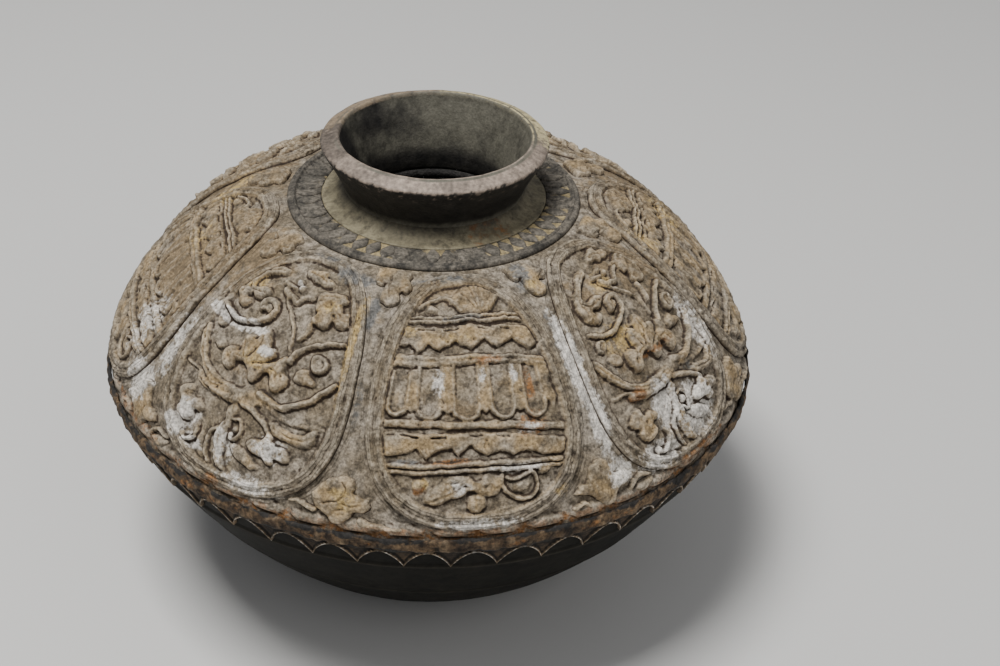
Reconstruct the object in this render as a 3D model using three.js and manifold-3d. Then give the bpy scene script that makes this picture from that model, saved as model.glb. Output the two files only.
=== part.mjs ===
// Earthenware vase: a squat moulded jar with a short flared neck and eight raised cartouches.
// Millimetres, +Z up. The origin is the centre of the face that the vase stands on.
// Azimuth 0 faces -Y and grows towards +X. The relief is drawn on a flat chart and then bent onto
// the shoulder: x is the distance across at the mean radius, y is the distance down the shoulder
// from its flat top, and z is the height over its surface.

import * as THREE from "three";
import { mergeVertices } from "three/addons/utils/BufferGeometryUtils.js";
import Module from "manifold-3d";

const wasm = await Module();
wasm.setup();

// Driving sizes of the body
const BELLY_RADIUS = 113;
const BELLY_HEIGHT = 79;
const SHOULDER_RISE = 58;
const SHOULDER_WALL = 7;
const BOWL_WALL = 7.5;
const TOP_RADIUS = 50;
const TOP_WALL = 7;

// Driving sizes of the neck
const NECK_WAIST_RADIUS = 30.5;
const RIM_RADIUS = 38.5;
const NECK_HEIGHT = 24.2;
const NECK_WALL = 5.2;
const LIP_WIDTH = 6.5;
const NECK_SEAT_DEPTH = 3;
const NECK_FOOT_SPREAD = 2.4;
const NECK_FLARE = 1.25;
const LIP_BEVEL = 2.6;
const COLLAR_RADIUS = 38;
const COLLAR_HEIGHT = 5;
const COLLAR_EDGE = 0.9;

// Driving sizes of the ring round the neck
const RING_THICKNESS = 1.6;
const RING_RIB_WIDTH = 2.2;
const RING_RIB_HEIGHT = 2.8;
const LOZENGE_COUNT = 54;
const LOZENGE_HEIGHT = 1.2;

// Driving sizes of the foot
const FOOT_RADIUS = 50;
const FOOT_WIDTH = 9;
const FOOT_HEIGHT = 5;
const FOOT_ROUNDING = 1.4;
const BOWL_FLAT_RADIUS = 56;

// Driving sizes of the belly seam and what covers it
const SEAM_LAP = 4;
const SEAM_COIL_HEIGHT = 18;
const SEAM_COIL_DEPTH = 4;
const BORDER_HEIGHT = 6;
const BORDER_DEPTH = 2.2;
const BORDER_DROP = 0.4;
const RIDGE_DEPTH = 0.9;
const RIDGE_WIDTH = 1.6;
const UPPER_RIDGE_DROP = 13.2;
const LOWER_RIDGE_DROP = 38;

// Driving sizes of the row of arches
const SCALLOP_COUNT = 48;
const SCALLOP_TOP = 3.4;
const SCALLOP_BOTTOM = 11.6;
const SCALLOP_RELIEF = 1.5;
const SCALLOP_LINE = 1.5;

// Driving sizes of the cartouches
const PANEL_COUNT = 8;
const PANEL_RELIEF = 2.6;
const MOTIF_RELIEF = 2.1;
const FRAME_WIDTH = 5.8;
const PANEL_TOP_MARGIN = 2.6;
const PANEL_BOTTOM_MARGIN = 4.4;
const PANEL_SQUARENESS = 2.6;
const FRAME_STEPS = 22;
const ARCADE_HALF_ANGLE = 20.1;
const NICHE_COUNT = 5;
const NICHE_PILLAR = 2.4;
const FOLIATE_HALF_ANGLE = 20.6;
const FIRST_PANEL_AZIMUTH = 8.2;
const PANEL_DRIFT = [0, -2.9, -8, -6, -3, 0, 1.8, 1.5];
const PANEL_SPREAD = [1, 0.93, 1, 1, 1, 1, 1, 1];

// Depth of the notches between the lobes of a leaf, as a share of its size, and its fineness
const LOBE_NOTCH = 0.34;
const LOBE_STEPS = 4;

// Clearance that luted pieces keep to each other, and how fine curved pieces are cut
const LUTING = 0.3;
const TURNS = 40;
const BACK_TOLERANCE = 0.27;
const FACE_TOLERANCE = 0.7;
const SHORTEST_EDGE = 0.06;
const WELD_DISTANCE = 1e-4;
const TANGENT_SHARE = 0.002;

// Shape numbers of the two body curves
const SHOULDER_BULGE = 1.72;
const SHOULDER_FALL = 1.44;
const BOWL_BULGE = 1.6;
const BOWL_FALL = 1.51;

const TOP_HEIGHT = BELLY_HEIGHT + SHOULDER_RISE;
const RIM_HEIGHT = TOP_HEIGHT + NECK_HEIGHT;
const SEAT_HEIGHT = TOP_HEIGHT - NECK_SEAT_DEPTH;
const RADIANS = Math.PI / 180;

const point = (radius, height) => new THREE.Vector2(radius, height);

// Outer line of the shoulder, from the flat top down to the belly seam, as (radius, height)
class ShoulderLine extends THREE.Curve {
  getPoint(t, target = new THREE.Vector2()) {
    const turn = (t * Math.PI) / 2;
    const radius = TOP_RADIUS + (BELLY_RADIUS - TOP_RADIUS) * Math.sin(turn) ** (2 / SHOULDER_BULGE);
    const rise = SHOULDER_RISE * Math.max(Math.cos(turn), 0) ** SHOULDER_FALL;
    return target.set(radius, BELLY_HEIGHT + rise);
  }
}

// Outer line of the lower bowl, from the belly seam down to the flat underside
class BowlLine extends THREE.Curve {
  getPoint(t, target = new THREE.Vector2()) {
    const turn = (t * Math.PI) / 2;
    const reach = Math.max(Math.cos(turn), 0) ** BOWL_BULGE;
    const radius = BOWL_FLAT_RADIUS + (BELLY_RADIUS - BOWL_FLAT_RADIUS) * reach;
    const drop = (BELLY_HEIGHT - FOOT_HEIGHT) * Math.sin(turn) ** BOWL_FALL;
    return target.set(radius, BELLY_HEIGHT - drop);
  }
}

const shoulderLine = new ShoulderLine();
const bowlLine = new BowlLine();
shoulderLine.arcLengthDivisions = 400;
bowlLine.arcLengthDivisions = 400;
const SHOULDER_LENGTH = shoulderLine.getLength();
const PANEL_TOP = PANEL_TOP_MARGIN;
const PANEL_BOTTOM = SHOULDER_LENGTH - PANEL_BOTTOM_MARGIN;
const PANEL_HALF_HEIGHT = (PANEL_BOTTOM - PANEL_TOP) / 2;
const PANEL_CENTRE = (PANEL_BOTTOM + PANEL_TOP) / 2;
const MEAN_RADIUS = (TOP_RADIUS + BELLY_RADIUS) / 2;

// Point of a body line at a distance along it, moved out along the normal by lift
function linePoint(line, length, distance, lift) {
  const share = THREE.MathUtils.clamp(distance / length, 0, 1);
  const ahead = line.getPointAt(Math.min(share + TANGENT_SHARE, 1));
  const behind = line.getPointAt(Math.max(share - TANGENT_SHARE, 0));
  const along = ahead.sub(behind).normalize();
  return line.getPointAt(share).add(point(-along.y, along.x).multiplyScalar(lift));
}

// Spaced points of a body line, moved out along the normal by lift
function offsetLine(line, count, lift) {
  const length = line.getLength();
  const spot = (step) => linePoint(line, length, (length * step) / count, lift);
  return Array.from({ length: count + 1 }, (_, step) => spot(step));
}

// Radius of a list of (radius, height) points at a height, going down the list
function radiusAt(points, height) {
  for (let step = 1; step < points.length; step += 1) {
    const [above, below] = [points[step - 1], points[step]];
    if (above.y >= height && below.y <= height) {
      const share = (above.y - height) / Math.max(above.y - below.y, 1e-9);
      return above.x + (below.x - above.x) * share;
    }
  }
  return points[points.length - 1].x;
}

// Closed turned body from a ring of (radius, height) points that runs round its section
function turned(points) {
  const closed = points[0].x === 0 ? points : [...points, points[0].clone()];
  const geometry = new THREE.LatheGeometry(closed, TURNS);
  geometry.rotateX(Math.PI / 2);
  return weld(geometry);
}

// Merges shared vertices, drops the faces that this leaves empty and turns the rest outwards
function weld(geometry) {
  geometry.deleteAttribute("normal");
  geometry.deleteAttribute("uv");
  const welded = mergeVertices(geometry, WELD_DISTANCE);
  welded.setIndex(wholeFaces(Array.from(welded.index.array)));
  return facingOut(welded);
}

// Index without faces that have lost a corner and without pairs of faces that lie back to back
function wholeFaces(index) {
  const seen = new Map();
  for (let at = 0; at < index.length; at += 3) {
    const face = index.slice(at, at + 3);
    if (new Set(face).size < 3) continue;
    const key = face.slice().sort((first, second) => first - second).join(" ");
    if (seen.has(key)) seen.delete(key);
    else seen.set(key, face);
  }
  return [...seen.values()].flat();
}

function facingOut(geometry) {
  if (signedVolume(geometry) > 0) return geometry;
  const index = Array.from(geometry.index.array);
  for (let at = 0; at < index.length; at += 3) {
    [index[at + 1], index[at + 2]] = [index[at + 2], index[at + 1]];
  }
  geometry.setIndex(index);
  return geometry;
}

// Merges the two ends of every edge that is too short to matter
function withoutSlivers(geometry) {
  const position = geometry.attributes.position;
  const index = Array.from(geometry.index.array);
  const home = Array.from({ length: position.count }, (_, at) => at);
  const root = (at) => (home[at] === at ? at : root(home[at]));
  const vertex = (at) => new THREE.Vector3().fromBufferAttribute(position, at);
  for (let at = 0; at < index.length; at += 3) {
    for (let place = 0; place < 3; place += 1) {
      const [start, end] = [index[at + place], index[at + ((place + 1) % 3)]];
      if (vertex(start).distanceTo(vertex(end)) < SHORTEST_EDGE) home[root(end)] = root(start);
    }
  }
  geometry.setIndex(wholeFaces(index.map(root)));
  return geometry;
}

function signedVolume(geometry) {
  const position = geometry.attributes.position;
  const index = geometry.index.array;
  const corner = [new THREE.Vector3(), new THREE.Vector3(), new THREE.Vector3()];
  let volume = 0;
  for (let at = 0; at < index.length; at += 3) {
    corner.forEach((point, place) => point.fromBufferAttribute(position, index[at + place]));
    volume += corner[0].dot(corner[1].clone().cross(corner[2])) / 6;
  }
  return volume;
}

function toSolid(geometry) {
  const mesh = new wasm.Mesh({
    numProp: 3,
    vertProperties: new Float32Array(geometry.attributes.position.array),
    triVerts: new Uint32Array(geometry.index.array),
  });
  return new wasm.Manifold(mesh);
}

function toGeometry(solid) {
  const mesh = solid.getMesh();
  const geometry = new THREE.BufferGeometry();
  geometry.setAttribute("position", new THREE.BufferAttribute(new Float32Array(mesh.vertProperties), 3));
  geometry.setIndex(new THREE.BufferAttribute(new Uint32Array(mesh.triVerts), 1));
  return geometry;
}

function joined(geometries) {
  const [first, ...others] = geometries.map(toSolid);
  return withoutSlivers(toGeometry(others.reduce((whole, part) => whole.add(part), first)));
}

// Bends a point of the flat relief onto the shoulder: x is across at the mean radius, y is down,
// and the spread widens or narrows the whole relief round the axis
function bentPoint(flat, azimuth, spread = 1) {
  const around = azimuth * RADIANS + (flat.x * spread) / MEAN_RADIUS;
  const place = linePoint(shoulderLine, SHOULDER_LENGTH, flat.y, flat.z);
  return new THREE.Vector3(place.x * Math.sin(around), -place.x * Math.cos(around), place.y);
}

// True where a straight edge would leave the shoulder by more than the tolerance, which is finer
// for the back of the relief than for its face
function needsCut(start, end) {
  const middle = bentPoint(start.clone().lerp(end, 0.5), 0);
  const chord = bentPoint(start, 0).lerp(bentPoint(end, 0), 0.5);
  const isFace = Math.min(start.z, end.z) > LUTING * 1.5;
  return middle.distanceTo(chord) > (isFace ? FACE_TOLERANCE : BACK_TOLERANCE);
}

// Halves the edges of flat relief until it can be bent onto the shoulder
function readyToBend(geometry) {
  const position = geometry.attributes.position;
  const vertex = (at) => new THREE.Vector3().fromBufferAttribute(position, at);
  const points = Array.from({ length: position.count }, (_, at) => vertex(at));
  const index = Array.from(geometry.index.array);
  let faces = Array.from({ length: index.length / 3 }, (_, at) => index.slice(at * 3, at * 3 + 3));
  let finer = halved(faces, points);
  while (finer.length > faces.length) {
    faces = finer;
    finer = halved(faces, points);
  }
  const result = new THREE.BufferGeometry();
  const numbers = points.flatMap((spot) => spot.toArray());
  result.setAttribute("position", new THREE.Float32BufferAttribute(numbers, 3));
  result.setIndex(faces.flat());
  return result;
}

// Faces with every edge halved once that needs it; the new middles are added to the points
function halved(faces, points) {
  const middles = new Map();
  const middle = (start, end) => {
    const key = [Math.min(start, end), Math.max(start, end)].join(" ");
    if (!middles.has(key)) {
      const cut = needsCut(points[start], points[end]);
      middles.set(key, cut ? points.push(points[start].clone().lerp(points[end], 0.5)) - 1 : -1);
    }
    return middles.get(key);
  };
  return faces.flatMap((face) => {
    const cuts = face.map((corner, place) => middle(corner, face[(place + 1) % 3]));
    const count = cuts.filter((cut) => cut >= 0).length;
    return count === 0 ? [face] : splitFace(face, cuts, count, points);
  });
}

// Triangles of a face whose edges are cut at the given middles
function splitFace(face, cuts, count, points) {
  if (count === 3) {
    const [ab, bc, ca] = cuts;
    return [[face[0], ab, ca], [ab, face[1], bc], [ca, bc, face[2]], [ab, bc, ca]];
  }
  const afterWhole = (cuts.findIndex((cut) => cut < 0) + 1) % 3;
  const start = count === 1 ? cuts.findIndex((cut) => cut >= 0) : afterWhole;
  const [a, b, c] = [0, 1, 2].map((step) => face[(start + step) % 3]);
  const [ab, bc] = [cuts[start], cuts[(start + 1) % 3]];
  if (count === 1) return [[a, ab, c], [ab, b, c]];
  if (points[a].distanceTo(points[bc]) <= points[ab].distanceTo(points[c])) {
    return [[ab, b, bc], [a, ab, bc], [a, bc, c]];
  }
  return [[ab, b, bc], [ab, bc, c], [a, ab, c]];
}

function bentOntoShoulder(geometry, azimuth, spread) {
  const position = geometry.attributes.position;
  for (let at = 0; at < position.count; at += 1) {
    const bent = bentPoint(new THREE.Vector3().fromBufferAttribute(position, at), azimuth, spread);
    position.setXYZ(at, ...bent.toArray());
  }
  return facingOut(geometry);
}

// Flat relief shapes, all in millimetres of the chart
const across = (degrees) => degrees * RADIANS * MEAN_RADIUS;
const degreesOf = (width) => width / (RADIANS * MEAN_RADIUS);
const down = (share) => PANEL_CENTRE + share * PANEL_HALF_HEIGHT;
const spotAt = ([degrees, share]) => point(across(degrees), down(share));

// Raised plate over an outline
function raised(shape, relief, curveSegments = 3) {
  const outline = shape.getPoints(curveSegments);
  const ordered = THREE.ShapeUtils.isClockWise(outline) ? outline.slice().reverse() : outline;
  const options = { depth: relief, bevelEnabled: false };
  const geometry = new THREE.ExtrudeGeometry(new THREE.Shape(ordered), options);
  geometry.translate(0, 0, LUTING);
  return weld(geometry);
}

// Raised plate with recesses cut right through it
function pierced(shape, recesses, relief) {
  const cutter = (recess) => toSolid(raised(recess, relief + 2 * LUTING).translate(0, 0, -LUTING));
  const plate = toSolid(raised(shape, relief));
  return toGeometry(recesses.reduce((left, recess) => left.subtract(cutter(recess)), plate));
}

// Band that follows a smooth line through (degrees, share) spots. Its width is a share of the half
// height and narrows to the far end by the taper.
function strand(spots, width, taper, steps) {
  const line = new THREE.SplineCurve(spots.map(spotAt));
  const left = [];
  const right = [];
  for (let step = 0; step <= steps; step += 1) {
    const share = step / steps;
    const half = (width / 2) * PANEL_HALF_HEIGHT * (1 - (1 - taper) * share);
    const middle = line.getPointAt(share);
    const tangent = line.getTangentAt(share);
    const side = point(-tangent.y, tangent.x).multiplyScalar(half);
    left.push(middle.clone().add(side));
    right.unshift(middle.clone().sub(side));
  }
  return new THREE.Shape([...left, ...right]);
}

// Leaf round a (degrees, share) spot whose edge swells into lobes, one of which points along the
// heading in degrees. Its length and width are shares of the half height.
function lobedLeaf(spot, length, width, lobes, heading) {
  const middle = spotAt(spot);
  const count = lobes * LOBE_STEPS;
  return new THREE.Shape(Array.from({ length: count }, (_, step) => {
    const turn = (step / count) * 2 * Math.PI;
    const swell = 1 - LOBE_NOTCH * (1 - Math.abs(Math.cos((turn * lobes) / 2)));
    const corner = point(length * Math.cos(turn), width * Math.sin(turn));
    corner.multiplyScalar((swell * PANEL_HALF_HEIGHT) / 2);
    return corner.rotateAround(point(0, 0), heading * RADIANS).add(middle);
  }));
}

// Shape with straight sides between (degrees, share) spots
const cornered = (spots) => new THREE.Shape(spots.map(spotAt));

// Pocket with a round bottom
function nichePocket(centre, top, bottom, half) {
  const middle = across(centre);
  const turnHeight = down(bottom) - half;
  const pocket = new THREE.Shape();
  pocket.moveTo(middle - half, down(top));
  pocket.lineTo(middle - half, turnHeight);
  pocket.absarc(middle, turnHeight, half, Math.PI, 0, true);
  pocket.lineTo(middle + half, down(top));
  pocket.closePath();
  return pocket;
}

// Recess with pointed teeth hanging into it from above and a straight lower edge
function toothedRecess(halfDegrees, top, bottom, tooth, count) {
  const pitch = (2 * halfDegrees) / count;
  const edge = [[halfDegrees, bottom], [-halfDegrees, bottom]];
  for (let step = 0; step < count; step += 1) {
    edge.push([-halfDegrees + pitch * step, top]);
    edge.push([-halfDegrees + pitch * (step + 0.5), top + tooth]);
  }
  edge.push([halfDegrees, top]);
  return cornered(edge);
}

// A recess and its mirror image across the middle of a cartouche
function bothSides(spots) {
  return [cornered(spots), cornered(spots.map(([degrees, share]) => [-degrees, share]))];
}

// Closed line of a cartouche, drawn in from its edge by the inset
function cartoucheLine(halfAngle, inset, steps) {
  const [halfAcross, halfDown] = [across(halfAngle) - inset, PANEL_HALF_HEIGHT - inset];
  const power = 2 / PANEL_SQUARENESS;
  const rounded = (value) => Math.sign(value) * Math.abs(value) ** power;
  return Array.from({ length: steps }, (_, step) => {
    const turn = ((step + 0.5) / steps) * 2 * Math.PI;
    return new THREE.Vector2(
      halfAcross * rounded(Math.cos(turn)),
      PANEL_CENTRE + halfDown * rounded(Math.sin(turn)),
    );
  });
}

// Frame of a cartouche: a closed moulding with two ribs and a groove between them
function frameMoulding(halfAngle) {
  const half = FRAME_WIDTH / 2;
  const section = [
    [-half, LUTING],
    [-half * 0.55, PANEL_RELIEF],
    [half * 0.1, PANEL_RELIEF * 0.6],
    [half * 0.55, PANEL_RELIEF * 0.85],
    [half, LUTING],
  ];
  const path = cartoucheLine(halfAngle, half, FRAME_STEPS);
  const next = (step) => path[(step + 1) % FRAME_STEPS];
  const previous = (step) => path[(step + FRAME_STEPS - 1) % FRAME_STEPS];
  return ringOf(FRAME_STEPS, (step) => {
    const along = next(step).clone().sub(previous(step)).normalize();
    const { x, y } = path[step];
    return section.map(([side, lift]) => [x - along.y * side, y + along.x * side, lift]);
  });
}

// Half width of the clear field inside a frame at a share of the half height, in degrees
function fieldDegrees(halfAngle, share) {
  const reach = (1 - Math.min(Math.abs(share), 1) ** PANEL_SQUARENESS) ** (1 / PANEL_SQUARENESS);
  return halfAngle * reach - degreesOf(FRAME_WIDTH);
}

// Cartouche with a trefoil under its arch, bars, teeth, five hanging niches and a lower leaf.
// Every recess is given by (degrees, share) spots, downwards from the arch.
function arcadeRelief() {
  const reach = (share) => fieldDegrees(ARCADE_HALF_ANGLE, share) - degreesOf(LUTING);
  const pitch = (reach(0) * 2) / NICHE_COUNT;
  const places = Array.from({ length: NICHE_COUNT }, (_, place) => place - (NICHE_COUNT - 1) / 2);
  const nicheHalf = (across(pitch) - NICHE_PILLAR) / 2;
  const recesses = [
    ...bothSides([
      [0.8, -0.6],
      [5.4, -0.68],
      [4, -0.76],
      [6, -0.86],
      [reach(-0.76), -0.72],
      [reach(-0.6), -0.6],
    ]),
    toothedRecess(reach(-0.4), -0.41, -0.3, 0.07, NICHE_COUNT),
    ...places.map((place) => nichePocket(place * pitch, -0.18, 0.18, nicheHalf)),
    toothedRecess(reach(0.48), 0.36, 0.48, 0.06, NICHE_COUNT),
    ...bothSides([
      [0.6, 0.58],
      [3, 0.68],
      [1.6, 0.82],
      [5, 0.8],
      [reach(0.7), 0.68],
      [reach(0.58), 0.58],
    ]),
  ];
  const plate = new THREE.Shape(cartoucheLine(ARCADE_HALF_ANGLE, FRAME_WIDTH * 0.7, FRAME_STEPS));
  return [frameMoulding(ARCADE_HALF_ANGLE), pierced(plate, recesses, MOTIF_RELIEF)];
}

// Cartouche with a branching stem, a hooked scroll and lobed leaves that all grow from it
function foliateRelief() {
  const edge = (share) => fieldDegrees(FOLIATE_HALF_ANGLE, share) + degreesOf(FRAME_WIDTH / 4);
  const stems = [
    strand([[-1.4, 0.95], [-1.6, 0.6], [-1.4, 0.3]], 0.1, 0.8, 2),
    strand([[-edge(0.05), 0.05], [-14, 0.18], [-1.4, 0.33], [8, 0.21], [edge(0), 0]], 0.07, 0.9, 8),
    strand([[-1.4, 0.33], [4, 0.12], [5, -0.13], [1, -0.4], [-4.6, -0.55], [-3, -0.93]], 0.075, 0.8, 7),
    strand([[5, -0.05], [9, -0.21], [edge(-0.28), -0.28]], 0.065, 0.9, 3),
    strand([[-edge(-0.18), -0.18], [-10, -0.14], [-6, -0.2], [-3.3, -0.34], [-6, -0.43]], 0.075, 0.9, 7),
    strand([[4, 0.1], [9, 0.02], [12, -0.08]], 0.07, 0.9, 2),
    strand([[3.2, -0.28], [6.4, -0.24], [7.5, -0.42]], 0.06, 0.9, 2),
    strand([[-8, 0.5], [-1.4, 0.42], [6, 0.44], [12, 0.42]], 0.06, 0.9, 4),
    strand([[-1.6, 0.5], [-4.5, 0.72], [-3.6, 0.95]], 0.06, 0.9, 2),
    strand([[-1.2, 0.5], [2.4, 0.74], [5, 0.93]], 0.06, 0.9, 2),
    strand([[-edge(0.76), 0.74], [-9, 0.72]], 0.07, 0.9, 1),
  ];
  const leaves = [
    lobedLeaf([-13.6, -0.5], 0.42, 0.2, 4, 70),
    lobedLeaf([-1, -0.72], 0.34, 0.12, 3, 0),
    lobedLeaf([9, -0.53], 0.38, 0.3, 4, 15),
    lobedLeaf([12.4, -0.1], 0.13, 0.13, 4, 0),
    lobedLeaf([-1.4, 0.02], 0.56, 0.42, 5, 90),
    lobedLeaf([-10.4, 0.54], 0.28, 0.24, 4, 30),
    lobedLeaf([7.4, 0.57], 0.3, 0.25, 4, 0),
    lobedLeaf([11.6, 0.42], 0.3, 0.13, 3, 0),
  ];
  const motifs = [...stems, ...leaves].map((shape) => raised(shape, MOTIF_RELIEF));
  return [frameMoulding(FOLIATE_HALF_ANGLE), ...motifs];
}

// Azimuth of the middle of a panel, counted to the right from the front arcade. The hand of the
// maker set each panel a few degrees off its even place, and pressed one a little narrower.
function panelAzimuth(place) {
  const drift = PANEL_DRIFT[place % PANEL_DRIFT.length];
  return FIRST_PANEL_AZIMUTH + (place * 360) / PANEL_COUNT + drift;
}

// Azimuth of the middle of the gap between a panel and the next one on its right
function gapAzimuth(place) {
  const next = place + 1 < PANEL_COUNT ? panelAzimuth(place + 1) : panelAzimuth(0) + 360;
  return (panelAzimuth(place) + next) / 2;
}

function panel(reliefs, azimuth, spread = 1) {
  return bentOntoShoulder(readyToBend(joined(reliefs)), azimuth, spread);
}

// Trefoil that hangs from the neck ring between two frames
function upperLeaf() {
  return [raised(lobedLeaf([0, -0.8], 0.38, 0.27, 3, 90), MOTIF_RELIEF)];
}

// Palmette that stands on the belly border between two frames, on a leafy foot
function lowerLeaf() {
  return [
    raised(lobedLeaf([0, 0.8], 0.4, 0.3, 5, -90), MOTIF_RELIEF),
    raised(strand([[-6.8, 0.965], [0, 0.99], [6.8, 0.965]], 0.065, 1, 4), MOTIF_RELIEF),
  ];
}

const NECK_BORE = NECK_WAIST_RADIUS - NECK_WALL;
const NECK_SEAT_RADIUS = NECK_WAIST_RADIUS + NECK_FOOT_SPREAD;

// Funnel neck: it stands in the seat of the shoulder and ends in a broad worn lip
function neck() {
  const flare = (share) => NECK_WAIST_RADIUS + (RIM_RADIUS - NECK_WAIST_RADIUS) * share ** NECK_FLARE;
  const height = (share) => TOP_HEIGHT + COLLAR_HEIGHT + (NECK_HEIGHT - COLLAR_HEIGHT) * share;
  const mouth = RIM_RADIUS - LIP_WIDTH;
  return turned([
    point(NECK_SEAT_RADIUS, SEAT_HEIGHT),
    point(NECK_SEAT_RADIUS, TOP_HEIGHT),
    point(NECK_WAIST_RADIUS, height(0)),
    point(flare(1 / 3), height(1 / 3)),
    point(flare(2 / 3), height(2 / 3)),
    point(RIM_RADIUS, RIM_HEIGHT - LIP_BEVEL),
    point(RIM_RADIUS - LIP_BEVEL / 2, RIM_HEIGHT - LIP_BEVEL / 5),
    point(RIM_RADIUS - LIP_WIDTH / 2, RIM_HEIGHT),
    point(mouth + LIP_BEVEL / 3, RIM_HEIGHT - LIP_BEVEL / 4),
    point(mouth - LIP_BEVEL / 3, RIM_HEIGHT - LIP_BEVEL * 1.3),
    point((NECK_BORE * 3 + mouth) / 4, height(1 / 3)),
    point(NECK_BORE, TOP_HEIGHT),
    point(NECK_BORE, SEAT_HEIGHT),
  ]);
}

// Concave fillet of clay pressed round the foot of the neck
function neckCollar() {
  const inner = NECK_SEAT_RADIUS + LUTING;
  const waist = NECK_WAIST_RADIUS + LUTING;
  const hollow = (NECK_SEAT_RADIUS + COLLAR_RADIUS) / 2;
  return turned([
    point(COLLAR_RADIUS, TOP_HEIGHT),
    point(COLLAR_RADIUS, TOP_HEIGHT + COLLAR_EDGE),
    point(hollow, TOP_HEIGHT + COLLAR_HEIGHT * 0.3),
    point(inner, TOP_HEIGHT + COLLAR_HEIGHT * 0.55),
    point(waist + COLLAR_EDGE, TOP_HEIGHT + COLLAR_HEIGHT),
    point(waist, TOP_HEIGHT + COLLAR_HEIGHT),
    point(inner, TOP_HEIGHT + LUTING / 2),
    point(inner, TOP_HEIGHT),
  ]);
}

// Flat ring with a row of raised lozenges and a rounded rib at its outer edge
function neckRing() {
  const inner = COLLAR_RADIUS + LUTING;
  const ribInner = TOP_RADIUS - RING_RIB_WIDTH;
  const face = TOP_HEIGHT + RING_THICKNESS;
  const section = (lozenge) => [
    point(inner, TOP_HEIGHT),
    point(inner, face - LUTING),
    point((inner + ribInner) / 2, face + lozenge),
    point(ribInner, face),
    point(TOP_RADIUS - RING_RIB_WIDTH / 2, TOP_HEIGHT + RING_RIB_HEIGHT),
    point(TOP_RADIUS + RING_RIB_WIDTH / 4, TOP_HEIGHT + RING_RIB_HEIGHT * 0.6),
    point(TOP_RADIUS, TOP_HEIGHT),
  ];
  return turnedRing(LOZENGE_COUNT * 2, (column) => section(column % 2 === 0 ? LOZENGE_HEIGHT : 0));
}

// Closed ring round the axis whose (radius, height) section may change from column to column
function turnedRing(columns, sectionAt) {
  return ringOf(columns, (column) => {
    const around = (column / columns) * 2 * Math.PI;
    return sectionAt(column).map(({ x, y }) => [x * Math.sin(around), -x * Math.cos(around), y]);
  });
}

// Closed ring through the sections of all columns, each of which is a loop of corners
function ringOf(columns, sectionAt) {
  const sections = Array.from({ length: columns }, (_, column) => sectionAt(column));
  const count = sections[0].length;
  const faces = [];
  for (let column = 0; column < columns; column += 1) {
    const [here, next] = [column * count, ((column + 1) % columns) * count];
    for (let at = 0; at < count; at += 1) {
      const after = (at + 1) % count;
      faces.push(here + at, next + at, next + after, here + at, next + after, here + after);
    }
  }
  const geometry = new THREE.BufferGeometry();
  geometry.setAttribute("position", new THREE.Float32BufferAttribute(sections.flat(2), 3));
  geometry.setIndex(faces);
  return weld(geometry);
}

const SHOULDER_STEPS = 8;
const INNER_STEPS = 5;
const LAP_RADIUS = BELLY_RADIUS - SHOULDER_WALL / 2;

// Upper shell: flat top with the neck seat, moulded shoulder and a lapped edge at the belly
function shoulder() {
  const lapTop = BELLY_HEIGHT + SEAM_LAP;
  const wall = BELLY_RADIUS - SHOULDER_WALL;
  const isClear = ({ x, y }) => y > lapTop + SHOULDER_WALL / 4 && x < wall - LUTING;
  return turned([
    ...offsetLine(shoulderLine, SHOULDER_STEPS, 0),
    point(LAP_RADIUS, BELLY_HEIGHT),
    point(LAP_RADIUS, lapTop),
    point(wall, lapTop),
    ...offsetLine(shoulderLine, INNER_STEPS, -SHOULDER_WALL).filter(isClear).reverse(),
    point(NECK_BORE, TOP_HEIGHT - TOP_WALL),
    point(NECK_BORE, SEAT_HEIGHT),
    point(NECK_SEAT_RADIUS + LUTING, SEAT_HEIGHT),
    point(NECK_SEAT_RADIUS + LUTING, TOP_HEIGHT),
  ]);
}

const BOWL_STEPS = 7;
const RIDGE_HEIGHTS = [BELLY_HEIGHT - UPPER_RIDGE_DROP, BELLY_HEIGHT - LOWER_RIDGE_DROP];

// Outer line of the lower bowl with its two fine ridges, downwards
function ridgedBowlLine() {
  const outer = offsetLine(bowlLine, BOWL_STEPS * 8, 0);
  const onLine = (height) => point(radiusAt(outer, height), height);
  const isPlain = ({ y }) => RIDGE_HEIGHTS.every((height) => Math.abs(y - height) > RIDGE_WIDTH);
  const ridges = RIDGE_HEIGHTS.flatMap((height) => [
    onLine(height + RIDGE_WIDTH / 2),
    onLine(height).add(point(RIDGE_DEPTH, -RIDGE_WIDTH / 4)),
    onLine(height - RIDGE_WIDTH / 2),
  ]);
  const spots = [...offsetLine(bowlLine, BOWL_STEPS, 0).filter(isPlain), ...ridges];
  return spots.sort((first, second) => second.y - first.y || second.x - first.x);
}

// Lower shell: a lapped edge at the belly, two fine ridges and a flat underside
function lowerBowl() {
  const tongue = LAP_RADIUS - LUTING;
  const tongueTop = BELLY_HEIGHT + SEAM_LAP - LUTING;
  const wall = BELLY_RADIUS - BOWL_WALL;
  const isClear = ({ x, y }) => y < BELLY_HEIGHT - BOWL_WALL / 4 && x < wall - LUTING;
  return turned([
    point(0, FOOT_HEIGHT),
    ...ridgedBowlLine().reverse(),
    point(tongue, BELLY_HEIGHT),
    point(tongue, tongueTop),
    point(wall, tongueTop),
    point(wall, BELLY_HEIGHT),
    ...offsetLine(bowlLine, INNER_STEPS, -BOWL_WALL).filter(isClear),
    point(0, FOOT_HEIGHT + BOWL_WALL),
  ]);
}

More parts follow.
